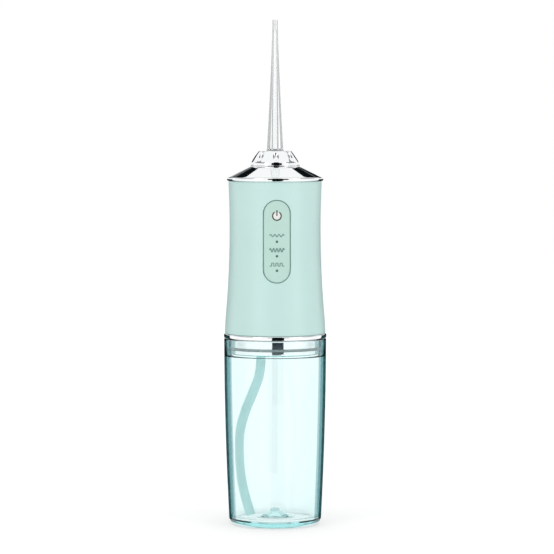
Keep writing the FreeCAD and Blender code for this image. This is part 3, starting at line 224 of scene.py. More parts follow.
def build_shell():
    SEG = 240
    step = 360.0 / SEG
    knots = [111.5, 139.1, 164.0, 188.0, 191.1, 198.8]
    zs = []
    for a, b in zip(knots, knots[1:]):
        k = max(2, int(round((b - a) / 0.9)))
        zs += [a + (b - a) * i / k for i in range(k)]
    zs.append(knots[-1])
    ang = [math.radians(step * c) for c in range(SEG)]
    verts, faces = [], []

    def grid(fr):
        ids = []
        for z in zs:
            ids.append(list(range(len(verts), len(verts) + SEG)))
            r = fr(z)
            verts.extend([(r * math.cos(t), r * math.sin(t), z) for t in ang])
        return ids

    outer, inner = grid(r_out), grid(r_in)
    front = window(int(270 / step), 16, zs, (139.1, 191.1), step)
    back = window(int(90 / step), 12, zs, (164.0, 188.0), step)
    for ids in (outer, inner):
        for j in range(len(zs) - 1):
            for c in range(SEG):
                if any(c in w[1] and w[2] <= j < w[3] for w in (front, back)):
                    continue
                d = (c + 1) % SEG
                faces.append((ids[j][c], ids[j][d], ids[j + 1][d], ids[j + 1][c]))

    # the key's slot at the front
    ring = front[0]
    cz = 165.1
    rect = [(r_out(zs[j]) * math.cos(ang[c % SEG]), zs[j] - cz) for c, j in ring]
    irect = [(r_in(zs[j]) * math.cos(ang[c % SEG]), zs[j] - cz) for c, j in ring]
    HW, HH, LIP = 7.9, 23.8, 0.75

    def on(fr, x, z, inset, sign):
        r = fr(z + cz) - inset
        return (x, sign * math.sqrt(max(r * r - x * x, 0)), z + cz)

    rings = [[outer[j][c % SEG] for c, j in ring]]
    edge = [stadium_hit(x * 2.6, z, HW + LIP, HH + LIP) for x, z in rect]
    for t in (0.2, 0.4, 0.6, 0.8, 1.0):
        rings.append([on(r_out, rx + (ex - rx) * t, rz + (ez - rz) * t, 0, -1) for (rx, rz), (ex, ez) in zip(rect, edge)])
    for d in (0.82, 0.62, 0.44, 0.28, 0.14, 0.05, 0.0):
        g = LIP * d
        inset = LIP - math.sqrt(max(LIP**2 - (LIP - g) ** 2, 0))
        inset *= 0.75
        rings.append([on(r_out, *stadium_hit(x * 2.6, z, HW + g, HH + g), inset, -1) for x, z in rect])
    for inset in (1.0, 1.5, 2.15):
        rings.append([on(r_out, *stadium_hit(x * 2.6, z, HW, HH), inset, -1) for x, z in rect])
    rings.append([on(r_in, *stadium_hit(x * 2.6, z, HW + 0.05, HH + 0.05), 0, -1) for x, z in rect])
    for t in (0.35, 0.7):
        rings.append([on(r_in, ex + (rx - ex) * t, ez + (rz - ez) * t, 0, -1) for (rx, rz), (ex, ez) in zip(irect, edge)])
    rings.append([inner[j][c % SEG] for c, j in ring])
    loft(verts, faces, rings)

    # the charging port's recess at the back
    ring = back[0]
    cz = 176.0
    rect = [(r_out(zs[j]) * math.cos(ang[c % SEG]), zs[j] - cz) for c, j in ring]
    irect = [(r_in(zs[j]) * math.cos(ang[c % SEG]), zs[j] - cz) for c, j in ring]
    HW, HH, LIP, FLOOR = 5.7, 9.7, 0.35, 24.95
    rings = [[outer[j][c % SEG] for c, j in ring]]
    edge = [stadium_hit(x * 1.6, z, HW + LIP, HH + LIP) for x, z in rect]
    for t in (0.25, 0.5, 0.75, 1.0):
        rings.append([on(r_out, rx + (ex - rx) * t, rz + (ez - rz) * t, 0, 1) for (rx, rz), (ex, ez) in zip(rect, edge)])
    for d in (0.7, 0.4, 0.15, 0.0):
        g = LIP * d
        inset = (LIP - math.sqrt(max(LIP**2 - (LIP - g) ** 2, 0))) * 0.7
        rings.append([on(r_out, *stadium_hit(x * 1.6, z, HW + g, HH + g), inset, 1) for x, z in rect])
    wall = [stadium_hit(x * 1.6, z, HW, HH) for x, z in rect]
    rings.append([(x, FLOOR + 0.12, z + cz) for x, z in wall])
    rings.append([(x * 0.98, FLOOR, z * 0.985 + cz) for x, z in wall])
    hole = [flat_stadium_hit(x, z, 5.2, 2.6) for x, z in wall]
    for t in (0.33, 0.66, 1.0):
        rings.append([(wx * 0.98 + (hx - wx * 0.98) * t, FLOOR, wz * 0.985 + (hz + 1.5 - wz * 0.985) * t + cz) for (wx, wz), (hx, hz) in zip(wall, hole)])
    rings.append([(hx, math.sqrt(r_in(hz + 1.5 + cz) ** 2 - hx * hx), hz + 1.5 + cz) for hx, hz in hole])
    for t in (0.35, 0.7):
        rings.append([on(r_in, hx + (rx - hx) * t, hz + 1.5 + (rz - hz - 1.5) * t, 0, 1) for (rx, rz), (hx, hz) in zip(irect, hole)])
    rings.append([inner[j][c % SEG] for c, j in ring])
    loft(verts, faces, rings)

    # rims at the top and bottom
    def turn(r, z):
        return [(r * math.cos(t), r * math.sin(t), z) for t in ang]

    rt = r_out(198.8)
    loft(verts, faces, [outer[-1], turn(rt - 0.1, 199.05), turn(rt - 0.3, 199.2), turn(r_in(199.2), 199.2), inner[-1]])
    loft(verts, faces, [outer[0], turn(29.08, 111.25), turn(28.9, 111.1), turn(26.75, 111.1), inner[0]])
    return new_object("mint_shell_skin", verts, faces, 40)


# ------------------------------------------------------------------------------------------------ the key
PAD_Z, PAD_HW, PAD_HH, PAD_IN = 165.1, 7.6, 23.5, 0.25


def pad_ring(offset, inset, n_arc=40, n_side=44):
    """The key's outline taken in by offset, on the handle's surface taken in by inset."""
    a = max(PAD_HW - offset, 0.0)
    s = PAD_HH - PAD_HW
    pts = []
    for k in range(n_side):
        pts.append((a, -s + 2 * s * k / n_side))
    for k in range(n_arc):
        t = math.pi * k / n_arc
        pts.append((a * math.cos(t), s + a * math.sin(t)))
    for k in range(n_side):
        pts.append((-a, s - 2 * s * k / n_side))
    for k in range(n_arc):
        t = math.pi + math.pi * k / n_arc
        pts.append((a * math.cos(t), -s + a * math.sin(t)))
    out = []
    for x, z in pts:
        r = waist(z + PAD_Z) - inset
        out.append((x, -math.sqrt(r * r - x * x), z + PAD_Z))
    return out


def build_pad():
    verts, faces = [], []
    EDGE = 1.0
    rings = [pad_ring(7.5, 3.15), pad_ring(4.0, 3.15), pad_ring(-1.5, 3.15), pad_ring(-1.6, 2.75), pad_ring(-1.5, 2.4), pad_ring(0.0, 2.35), pad_ring(0.0, 1.6)]
    for k in range(9):
        t = math.pi / 2 * k / 8
        rings.append(pad_ring(EDGE * (1 - math.cos(t)), PAD_IN + 0.9 * EDGE * (1 - math.sin(t))))
    for d in (1.3, 1.7, 2.3, 3.1, 4.1, 5.2, 6.4, 7.5):
        rings.append(pad_ring(d, PAD_IN))
    ids = loft(verts, faces, rings)
    for last in (ids[0], ids[-1]):
        n = len(last)
        # both ends of the loft close across the narrow slit that is left along the middle
        na, ns = 40, 44
        for k in range(ns - 1):
            faces.append((last[k], last[k + 1], last[(na + 2 * ns - 1 - k) % n], last[(na + 2 * ns - k) % n]))
        faces.append(tuple(last[ns - 1 : ns + na + 1]))
        faces.append(tuple([last[0]] + [last[i % n] for i in range(n - na, n)]))
    return new_object("mode_key_pad", verts, faces, 50)


def on_pad(x, z, lift):
    r = waist(z) - PAD_IN + lift
    return (x, -math.sqrt(r * r - x * x), z)


def ribbon(name, paths, width, lift=0.035, sink=-0.12):
    """Printed lines on the key: each path is a list of (x, z)."""
    verts, faces = [], []
    for path in paths:
        closed = math.hypot(path[0][0] - path[-1][0], path[0][1] - path[-1][1]) < 1e-6
        pts = [np.array(p, float) for p in (path[:-1] if closed else path)]
        m = len(pts)
        quads = []
        for i in range(m):
            a = pts[i - 1] if (i or closed) else pts[i]
            b = pts[(i + 1) % m] if (i < m - 1 or closed) else pts[i]
            d = (b - a) / np.linalg.norm(b - a)
            nrm = np.array([-d[1], d[0]]) * width / 2
            l, r = pts[i] + nrm, pts[i] - nrm
            c = len(verts)
            verts += [on_pad(l[0], l[1], sink), on_pad(l[0], l[1], lift), on_pad(r[0], r[1], lift), on_pad(r[0], r[1], sink)]
            quads.append((c, c + 1, c + 2, c + 3))
        pairs = list(zip(quads, quads[1:])) + ([(quads[-1], quads[0])] if closed else [])
        for a, b in pairs:
            for k in range(4):
                faces.append((a[k], a[(k + 1) % 4], b[(k + 1) % 4], b[k]))
        if not closed:
            faces += [quads[0], quads[-1][::-1]]
    return new_object(name, verts, faces, 40)


def disc(name, z0, radius, lift, sink=-0.4, dome=0.0, n=40):
    verts, faces, rings = [], [], []

    def ring(r, h):
        return [on_pad(r * math.cos(2 * math.pi * k / n), z0 + r * math.sin(2 * math.pi * k / n), h) for k in range(n)]

    rings = [ring(radius * 0.5, sink), ring(radius, sink), ring(radius, lift - 0.02), ring(radius * 0.94, lift)]
    for f in (0.75, 0.5, 0.25, 0.08):
        rings.append(ring(radius * f, lift + dome * (1 - f * f)))
    ids = loft(verts, faces, rings)
    faces += [tuple(ids[0]), tuple(ids[-1])]
    return new_object(name, verts, faces, 50)


def circle_path(z0, r, a0, a1, n=60):
    return [(r * math.cos(math.radians(a0 + (a1 - a0) * k / n)), z0 + r * math.sin(math.radians(a0 + (a1 - a0) * k / n))) for k in range(n + 1)]


# ------------------------------------------------------------------------------------------------ the knob
def build_knob():
    kl, kt = 208.1, 216.6
    slope = arc((14.15, kl + 2.0), (9.95, kt - 0.55), 60.0, 1, 56)
    low = arc((13.9, kl), (14.3, kl + 0.5), 0.5, 1, 5)
    top = arc((9.95, kt - 0.55), (9.2, kt), 0.8, 1, 6)
    outline = [(5.0, kl + 0.4), (13.1, kl)] + low + [(14.25, kl + 1.2)] + slope + top[1:] + [(8.0, kt + 0.0), (5.35, kt), (5.2, kt - 0.15), (5.2, kt - 1.0), (5.0, kt - 1.0)]
    SEG = 480
    a, b = np.array([14.15, kl + 2.0]), np.array([9.95, kt - 0.55])
    mid, along = (a + b) / 2, (b - a) / np.linalg.norm(b - a)
    outn = np.array([along[1], -along[0]])
    verts, faces, rows = [], [], []
    for r, z in outline:
        row = []
        for k in range(SEG):
            t = 2 * math.pi * k / SEG
            rr, zz = r, z
            d = (t - math.radians(-90) + math.radians(22.5)) % math.radians(45) - math.radians(22.5)
            p = np.array([r, z]) - mid
            s, n0 = float(p @ along), float(p @ outn)
            if abs(s) < 3.6 and n0 > -0.3 and z > kl + 1.0:
                tt = r * math.sin(d)
                q = 1 - (s / 3.7) ** 2 - (tt / 2.0) ** 2
                if q > 0:
                    n1 = 1.35 - 2.2 * math.sqrt(q)
                    if n1 < n0:
                        m = mid + along * s + outn * n1
                        rr, zz = float(m[0]), float(m[1])
            row.append(len(verts))
            verts.append((rr * math.cos(t), rr * math.sin(t), zz))
        rows.append(row)
    for i in range(len(rows)):
        p, q = rows[i], rows[(i + 1) % len(rows)]
        for k in range(SEG):
            faces.append((p[k], p[(k + 1) % SEG], q[(k + 1) % SEG], q[k]))
    return new_object("knob_chrome", verts, faces, 30)


# ------------------------------------------------------------------------------------------------ turned pieces
def build_tank():
    rim_in = 27.0
    out = []
    out += [(0, 2.6), (6.0, 2.6)]
    out += [(9.1, 2.6), (9.4, 2.3), (9.5, 1.9), (9.5, 0.6), (9.65, 0.2), (10.1, 0.0)]
    out += [(16.0, 0.0), (23.0, 0.0)]
    out += arc((23.2, 0.0), (26.75, 4.0), 4.0, 1, 14)
    out += arc((26.75, 4.0), (29.6, 107.6), 2080.0, 1, 60)[1:]
    out += [(29.56, 107.95), (29.4, 108.15), (29.1, 108.2)]
    out += [(27.6, 108.2), (27.2, 108.1), (27.02, 107.8), (rim_in, 107.4), (rim_in, 98.9), (26.9, 98.55), (26.6, 98.4), (25.8, 98.4), (25.45, 98.25), (25.3, 97.9)]
    out += arc((25.3, 97.8), (22.7, 7.1), 2080.0, -1, 54)
    out += arc((22.7, 7.1), (19.55, 3.6), 3.6, -1, 12)[1:]
    out += [(17.0, 3.6), (13.6, 3.6), (13.0, 3.72)]
    out += [(10.0, 4.8), (7.0, 5.95), (4.0, 7.05), (3.2, 7.35), (2.82, 7.65), (2.7, 8.0)]
    out += arc((2.7, 8.3), (1.8, 9.2), 0.9, 1, 6) + [(0.9, 9.2), (0, 9.2)]
    return lathe("tank_clear_wall", out, 256, 50)


def build_nozzle():
    kt, tz = 216.6, 292.3
    out = [(1.5, 203.0), (2.2, 203.0), (2.6, 203.6), (2.6, 206.2), (1.95, 206.2), (1.95, 207.8), (2.6, 207.8), (2.6, kt - 0.9)]
    out += soften([(5.1, kt - 0.9), (5.1, kt + 0.35), (4.78, kt + 0.5)], {0: 0.12, 1: 0.25}, 3)[0:]
    out = out[:8] + [(5.0, kt - 0.9), (5.1, kt - 0.8), (5.1, kt + 0.1), (5.02, kt + 0.3), (4.85, kt + 0.42)]
    out += arc((4.75, kt + 0.6), (1.5, tz - 3.0), 2400.0, -1, 60)
    out += [(1.53, tz - 2.7), (1.55, tz - 2.2), (1.54, tz - 1.4), (1.49, tz - 0.8)]
    out += arc((1.45, tz - 0.5), (0.95, tz), 0.5, 1, 6)
    out += [(0.5, tz), (0.4, tz - 0.1), (0.4, tz - 5.0), (0.9, tz - 8.0), (1.5, kt + 4.0)]
    return lathe("jet_nozzle_clear", out, 128, 40)


def build_shoulder():
    slope = arc((27.1, 201.62), (14.5, 207.7), 420.0, 1, 24)
    out = [(24.6, 200.2), (26.2, 200.2), (26.2, 201.5), (27.15, 201.5), (27.25, 201.53)] + slope + [(14.3, 207.8), (14.0, 207.8), (6.4, 207.8), (6.3, 207.7), (6.3, 206.4), (13.7, 206.4), (24.6, 201.5)]
    return lathe("shoulder_chrome", out, 256, 30)


def build_ring(name, r_in_, r, z0, z1, e0, e1):
    out = [(r_in_, z0)] + arc((r - e0, z0), (r, z0 + e0), e0, 1, 8) + arc((r, z1 - e1), (r - e1, z1), e1, 1, 8) + [(r_in_, z1)]
    return lathe(name, out, 256, 50)


# ------------------------------------------------------------------------------------------------ materials
def nodes_of(name):
    m = bpy.data.materials.new(name)
    m.use_nodes = True
    nt = m.node_tree
    nt.nodes.clear()
    out = nt.nodes.new("ShaderNodeOutputMaterial")
    bs = nt.nodes.new("ShaderNodeBsdfPrincipled")
    nt.links.new(bs.outputs["BSDF"], out.inputs["Surface"])
    return m, nt, bs, out


def coords(nt, stretch=(1, 1, 1)):
    tc = nt.nodes.new("ShaderNodeTexCoord")
    mp = nt.nodes.new("ShaderNodeMapping")
    mp.inputs["Scale"].default_value = stretch
    nt.links.new(tc.outputs["Object"], mp.inputs["Vector"])
    return mp.outputs["Vector"]


def noise(nt, vec, scale, detail=3.0, rough=0.55):
    n = nt.nodes.new("ShaderNodeTexNoise")
    n.inputs["Scale"].default_value = scale
    n.inputs["Detail"].default_value = detail
    n.inputs["Roughness"].default_value = rough
    nt.links.new(vec, n.inputs["Vector"])
    return n.outputs["Fac"]


def ramp(nt, fac, lo, hi, a=0.3, b=0.7):
    r = nt.nodes.new("ShaderNodeMapRange")
    r.inputs["From Min"].default_value = a
    r.inputs["From Max"].default_value = b
    r.inputs["To Min"].default_value = lo
    r.inputs["To Max"].default_value = hi
    nt.links.new(fac, r.inputs["Value"])
    return r.outputs["Result"]


def mix_color(nt, fac, a, b):
    m = nt.nodes.new("ShaderNodeMix")
    m.data_type = "RGBA"
    m.inputs["A"].default_value = (*a, 1)
    m.inputs["B"].default_value = (*b, 1)
    nt.links.new(fac, m.inputs["Factor"])
    return m.outputs["Result"]


def bump(nt, fac, strength, distance, bs, chain=None):
    b = nt.nodes.new("ShaderNodeBump")
    b.inputs["Strength"].default_value = strength
    b.inputs["Distance"].default_value = distance
    nt.links.new(fac, b.inputs["Height"])
    if chain is not None:
        nt.links.new(chain, b.inputs["Normal"])
    nt.links.new(b.outputs["Normal"], bs.inputs["Normal"])
    return b.outputs["Normal"]


def surface(name, color, rough=(0.35, 0.45), metallic=0.0, tone=0.06, grain=2200, grain_h=0.00001, grain_s=0.15, blotch=60, coat=0.0, coat_rough=0.2, stretch=(1, 1, 1), ior=1.5, sub=0.0, spec=0.5):
    """Moulded or machined surface: slow tone variation, fine grain in the bump and uneven gloss."""
    m, nt, bs, out = nodes_of(name)
    v = coords(nt, stretch)
    slow = noise(nt, v, blotch, 4)
    fine = noise(nt, v, grain, 4, 0.65)
    lo = tuple(max(0, c * (1 - tone)) for c in color)
    hi = tuple(min(1, c * (1 + tone)) for c in color)
    nt.links.new(mix_color(nt, ramp(nt, slow, 0, 1, 0.35, 0.65), lo, hi), bs.inputs["Base Color"])
    nt.links.new(ramp(nt, noise(nt, v, blotch * 3.1, 5), rough[0], rough[1]), bs.inputs["Roughness"])
    bs.inputs["Metallic"].default_value = metallic
    bs.inputs["IOR"].default_value = ior
    bs.inputs["Specular IOR Level"].default_value = spec
    if coat:
        bs.inputs["Coat Weight"].default_value = coat
        bs.inputs["Coat Roughness"].default_value = coat_rough
    if sub:
        bs.inputs["Subsurface Weight"].default_value = sub
        bs.inputs["Subsurface Scale"].default_value = 0.002
        bs.inputs["Subsurface Radius"].default_value = (1.0, 1.0, 1.0)
    bump(nt, fine, grain_s, grain_h, bs)
    return m


def chrome(name, tint=(0.93, 0.95, 0.955), rough=(0.02, 0.055)):
    """Bright plating: faint wipe marks in the gloss and a very slight ripple."""
    m, nt, bs, out = nodes_of(name)
    v = coords(nt)
    wipe = noise(nt, coords(nt, (1, 1, 7)), 130, 5, 0.6)
    cloud = noise(nt, v, 45, 3)
    nt.links.new(mix_color(nt, ramp(nt, cloud, 0, 1), tuple(c * 0.985 for c in tint), tint), bs.inputs["Base Color"])
    nt.links.new(ramp(nt, wipe, rough[0], rough[1]), bs.inputs["Roughness"])
    bs.inputs["Metallic"].default_value = 1.0
    bump(nt, noise(nt, v, 90, 2), 0.04, 0.00002, bs)
    return m


def clear_plastic_painted_rim(name, face, edge, ior, rough=(0.0, 0.02), power=0.35, ripple=0.03, absorb=None, density=0.0, stops=None, skin_r=0.0):
    """Clear moulded plastic with painted rim shade: a facing ramp darkens its colour towards grazing angles, down to
    near-black at the rim; only the volume absorption, where given, is the wall's real tint.
    """
    m, nt, bs, out = nodes_of(name)
    v = coords(nt)
    # painted shade: the Layer Weight facing value drives a colour ramp that darkens the rim
    lw = nt.nodes.new("ShaderNodeLayerWeight")
    lw.inputs["Blend"].default_value = power
    cr = nt.nodes.new("ShaderNodeValToRGB")
    cr.color_ramp.interpolation = "EASE"
    cr.color_ramp.elements[0].position = 0.0
    cr.color_ramp.elements[0].color = (*face, 1)
    cr.color_ramp.elements[1].position = 1.0
    cr.color_ramp.elements[1].color = (*edge, 1)
    for pos, col in stops or []:
        e = cr.color_ramp.elements.new(pos)
        e.color = (*col, 1)
    facing = lw.outputs["Facing"]
    if skin_r:
        # inside this radius (metres) lies the inner wall, which gets no painted rim shade and stays clear
        flat = nt.nodes.new("ShaderNodeVectorMath")
        flat.operation = "MULTIPLY"
        flat.inputs[1].default_value = (1, 1, 0)
        nt.links.new(v, flat.inputs[0])
        away = nt.nodes.new("ShaderNodeVectorMath")
        away.operation = "LENGTH"
        nt.links.new(flat.outputs["Vector"], away.inputs[0])
        skin = nt.nodes.new("ShaderNodeMath")
        skin.operation = "GREATER_THAN"
        skin.inputs[1].default_value = skin_r
        nt.links.new(away.outputs["Value"], skin.inputs[0])
        both = nt.nodes.new("ShaderNodeMath")
        both.operation = "MULTIPLY"
        nt.links.new(facing, both.inputs[0])
        nt.links.new(skin.outputs["Value"], both.inputs[1])
        facing = both.outputs["Value"]
    # painted shade: the facing ramp sets the base colour, darker towards grazing angles
    nt.links.new(facing, cr.inputs["Fac"])
    # a faint moulded haze, slow and uneven
    haze = ramp(nt, noise(nt, v, 35, 3), 0.0, 1.0)
    mx = nt.nodes.new("ShaderNodeMix")
    mx.data_type = "RGBA"
    mx.blend_type = "MULTIPLY"
    mx.inputs["B"].default_value = (0.985, 0.995, 0.995, 1)
    nt.links.new(haze, mx.inputs["Factor"])
    nt.links.new(cr.outputs["Color"], mx.inputs["A"])
    nt.links.new(mx.outputs["Result"], bs.inputs["Base Color"])
    nt.links.new(ramp(nt, noise(nt, v, 60, 4), rough[0], rough[1]), bs.inputs["Roughness"])
    bs.inputs["Transmission Weight"].default_value = 1.0
    bs.inputs["IOR"].default_value = ior
    bump(nt, noise(nt, v, 28, 2), ripple, 0.0001, bs)
    if absorb:
        va = nt.nodes.new("ShaderNodeVolumeAbsorption")
        va.inputs["Color"].default_value = (*absorb, 1)
        va.inputs["Density"].default_value = density
        nt.links.new(va.outputs["Volume"], out.inputs["Volume"])
    return m


def silicone(name, color, trans, rough=(0.25, 0.35), ior=1.41, painted_glow=0.0):
    m, nt, bs, out = nodes_of(name)
    v = coords(nt)
    nt.links.new(mix_color(nt, ramp(nt, noise(nt, v, 70, 4), 0, 1), tuple(c * 0.95 for c in color), color), bs.inputs["Base Color"])
    nt.links.new(ramp(nt, noise(nt, v, 240, 4), rough[0], rough[1]), bs.inputs["Roughness"])
    bs.inputs["Transmission Weight"].default_value = trans
    bs.inputs["IOR"].default_value = ior
    bump(nt, noise(nt, v, 1500, 3), 0.02, 0.000002, bs)
    # painted light: an emission term makes the part glow, though it is no lamp
    if painted_glow:
        bs.inputs["Emission Color"].default_value = (*color, 1)
        bs.inputs["Emission Strength"].default_value = painted_glow
    return m


MINT = (0.505, 0.70, 0.665)
MAT = {
    "mint_shell": surface("mint_satin_plastic", MINT, (0.34, 0.44), tone=0.012, grain=2600, grain_h=0.000006, grain_s=0.12, blotch=26, coat=0.12, coat_rough=0.22),
    "mint_pad": surface("mint_key_silicone", (0.45, 0.64, 0.575), (0.46, 0.58), tone=0.015, grain=3400, grain_h=0.00001, grain_s=0.2, blotch=40),
    "chrome_plated": chrome("bright_chrome"),
    # painted shade: the tank's colour ramps from near-white facing to near-black teal at grazing angles on the outer
    # wall; the volume absorption is its real teal tint
    "clear_teal": clear_plastic_painted_rim("clear_teal_plastic_painted_rim_shade", (0.985, 1.0, 1.0), (0.0, 0.02, 0.022), 1.49, (0.0, 0.01), power=0.5, ripple=0.004, absorb=(0.45, 0.93, 0.94), density=33.0, skin_r=0.0262, stops=[(0.47, (0.97, 0.995, 0.995)), (0.50, (0.20, 0.36, 0.38)), (0.58, (0.07, 0.19, 0.21)), (0.655, (0.06, 0.17, 0.19)), (0.70, (0.002, 0.012, 0.014))]),
    # painted shade: the nozzle's colour turns grey towards its grazing edges
    "clear_nozzle": clear_plastic_painted_rim("clear_nozzle_plastic_painted_edge_shade", (0.99, 0.995, 0.995), (0.30, 0.305, 0.31), 1.46, (0.05, 0.09), power=0.5, ripple=0.0, stops=[(0.5, (0.98, 0.985, 0.985)), (0.85, (0.60, 0.61, 0.615))]),
    # painted light: the suction tube glows a little (emission 0.14) to stay pale behind the tinted wall
    "aqua_silicone": silicone("aqua_tube_silicone_painted_glow", (0.60, 0.89, 0.875), 0.0, painted_glow=0.14),
    "pale_silicone": silicone("pale_seal_silicone", (0.80, 0.90, 0.90), 0.5),
    "clear_hose": silicone("clear_hose_silicone", (0.85, 0.88, 0.88), 0.6),
    "seal_rubber": surface("black_seal_rubber", (0.02, 0.02, 0.022), (0.45, 0.6), tone=0.2, grain=4000, grain_s=0.3),
    "white_nylon": surface("white_nylon", (0.78, 0.78, 0.76), (0.45, 0.6), tone=0.03, grain=1800, grain_h=0.00003, grain_s=0.3, blotch=90, sub=0.1),
    "grey_plastic": surface("grey_acetal_moulding", (0.10, 0.105, 0.11), (0.4, 0.55), tone=0.08, grain=2400, grain_h=0.00002, grain_s=0.25),
    "acetal": surface("natural_acetal", (0.82, 0.81, 0.77), (0.28, 0.4), tone=0.02, grain=2600, grain_s=0.15, sub=0.15),
    "steel": surface("turned_steel", (0.56, 0.57, 0.58), (0.18, 0.32), metallic=1.0, tone=0.05, grain=1500, grain_h=0.00001, grain_s=0.2, stretch=(1, 1, 9)),
    "zinc_can": surface("zinc_plated_can", (0.62, 0.63, 0.65), (0.25, 0.42), metallic=1.0, tone=0.08, grain=900, blotch=120, stretch=(1, 1, 3)),
    "ferrite": surface("ferrite_magnet", (0.05, 0.05, 0.055), (0.55, 0.75), tone=0.25, grain=3000, grain_h=0.00004, grain_s=0.5),
    "copper_part": surface("brass_and_copper", (0.72, 0.43, 0.22), (0.2, 0.36), metallic=1.0, tone=0.1, grain=1600),
    "cell_wrap": surface("shrink_wrap_blue", (0.03, 0.12, 0.38), (0.2, 0.34), tone=0.06, grain=700, grain_h=0.00004, grain_s=0.3, coat=0.4),
    "board_green": surface("solder_mask_green", (0.01, 0.10, 0.045), (0.25, 0.4), tone=0.25, grain=1400, grain_h=0.00003, grain_s=0.3, blotch=500, coat=0.3),
    "chip_black": surface("moulded_chip_black", (0.015, 0.015, 0.016), (0.5, 0.65), tone=0.2, grain=4000, grain_s=0.3),
    "led_lens": surface("diffuser_epoxy", (0.85, 0.86, 0.8), (0.2, 0.3), tone=0.03, grain=1500, sub=0.2),
    "window_dark": surface("mode_window_smoke", (0.085, 0.13, 0.115), (0.12, 0.22), tone=0.1, grain=2000, coat=0.5, coat_rough=0.08),
    "flap_rubber": surface("mint_flap_silicone", (0.50, 0.72, 0.66), (0.48, 0.6), tone=0.02, grain=3200, grain_h=0.00001, grain_s=0.22, blotch=50),
}
MAT["print_dark"] = surface("printed_icon_ink", (0.075, 0.06, 0.055), (0.3, 0.42), tone=0.12, grain=5000, blotch=900)
MAT["print_green"] = surface("printed_mark_ink", (0.15, 0.27, 0.235), (0.35, 0.5), tone=0.12, grain=5000, blotch=900)
MAT["light_guide"] = surface("icon_light_guide", (0.82, 0.84, 0.80), (0.3, 0.4), tone=0.02, grain=3000, sub=0.2)

slots = {s["node"]: s["material_slot"] for s in frame["record"]["subparts"]}
for n, o in nodes.items():
    o.data.materials.clear()
    o.data.materials.append(MAT[slots[n]])


def piece(ob, body, slot, replaced=(), material=None):
    ob.data.materials.clear()
    ob.data.materials.append(MAT[material or slot])
    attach(ob, body)
    if replaced:
        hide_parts(*replaced)
    return ob


# ------------------------------------------------------------------------------------------------ pieces
piece(build_shell(), "handle", "mint_shell", ["handle_shell"])
pad = piece(build_pad(), "button", "mint_pad", ["button_pad"])
piece(build_tank(), "tank", "clear_teal", ["water_tank"])
piece(build_nozzle(), "nozzle", "clear_nozzle", ["nozzle_tip"])
piece(build_knob(), "turret", "chrome_plated", ["nozzle_knob"])
piece(build_shoulder(), "handle", "chrome_plated", ["shoulder_cap"])
piece(build_ring("upper_ring_chrome", 26.25, 27.9, 199.2, 201.5, 0.9, 0.8), "handle", "chrome_plated", ["top_trim_ring"])
piece(build_ring("lower_ring_chrome", 26.7, 29.75, 108.5, 111.0, 0.7, 0.7), "handle", "chrome_plated", ["lower_trim_ring"])

LED_Z = [165.1, 156.85, 148.6]
led_objs = [disc("mode_window_%d" % (i + 1), z, 0.75, 0.02, dome=0.12) for i, z in enumerate(LED_Z)]
for i, ob in enumerate(led_objs):
    piece(ob, "button", "window_dark", ["mode_windows"] if i == 0 else [])

POWER_Z = 179.8
piece(disc("power_light_guide", POWER_Z, 2.15, 0.015, dome=0.02, sink=-0.2, n=48), "button", "mint_pad", material="light_guide")
piece(
    ribbon("power_symbol", [circle_path(POWER_Z, 2.45, 122, 418), [(0, POWER_Z + 0.1), (0, POWER_Z + 1.6), (0, POWER_Z + 3.25)]], 0.72, lift=0.05),
    "button", "mint_pad", material="print_dark",
)


def wave(z, amp, cycles, n=96, half=4.2):
    return [(-half + 2 * half * k / n, z + amp * math.sin(2 * math.pi * cycles * k / n)) for k in range(n + 1)]


def pulse(z, amp, half=4.2):
    pts, w = [], 2 * half / 7
    for k in range(7):
        h = amp if k % 2 else -amp
        x0 = -half + w * k
        pts += [(x0 + 0.04, z + h), (x0 + w * 0.5, z + h), (x0 + w - 0.04, z + h)]
    return pts


piece(ribbon("mode_mark_low", [wave(168.6, 0.62, 3.5)], 0.62), "button", "mint_pad", material="print_green")
piece(ribbon("mode_mark_high", [wave(160.3, 1.0, 4.5)], 0.66), "button", "mint_pad", material="print_green")
piece(ribbon("mode_mark_pulse", [pulse(152.1, 0.85)], 0.6), "button", "mint_pad", material="print_green")

# suction tube: the route's points are the ones that the CAD tube follows
ROUTE = [
    (-8.2, 0.0, 99.4), (-8.2, 0.0, 88.5), (-12.6, 0.0, 77.2), (-18.0, 0.0, 64.4), (-21.0, 0.0, 53.0),
    (-21.1, 0.0, 39.5), (-19.9, 0.0, 26.5), (-17.2, 0.0, 14.8), (-14.3, 0.0, 5.3),
]


def nurbs_line(points):
    cu = bpy.data.curves.new("suction_route", "CURVE")
    cu.dimensions = "3D"
    sp = cu.splines.new("NURBS")
    sp.points.add(len(points) - 1)
    for p, (x, y, z) in zip(sp.points, points):
        p.co = (x * MM, y * MM, z * MM, 1)
    sp.order_u = 3
    sp.use_endpoint_u = True
    cu.resolution_u = 24
    ob = bpy.data.objects.new("suction_route", cu)
    scene.collection.objects.link(ob)
    bpy.context.view_layer.update()
    me = bpy.data.meshes.new_from_object(ob.evaluated_get(bpy.context.evaluated_depsgraph_get()))
    line = [v.co.copy() for v in me.vertices]
    bpy.data.objects.remove(ob)
    bpy.data.meshes.remove(me)
    return line


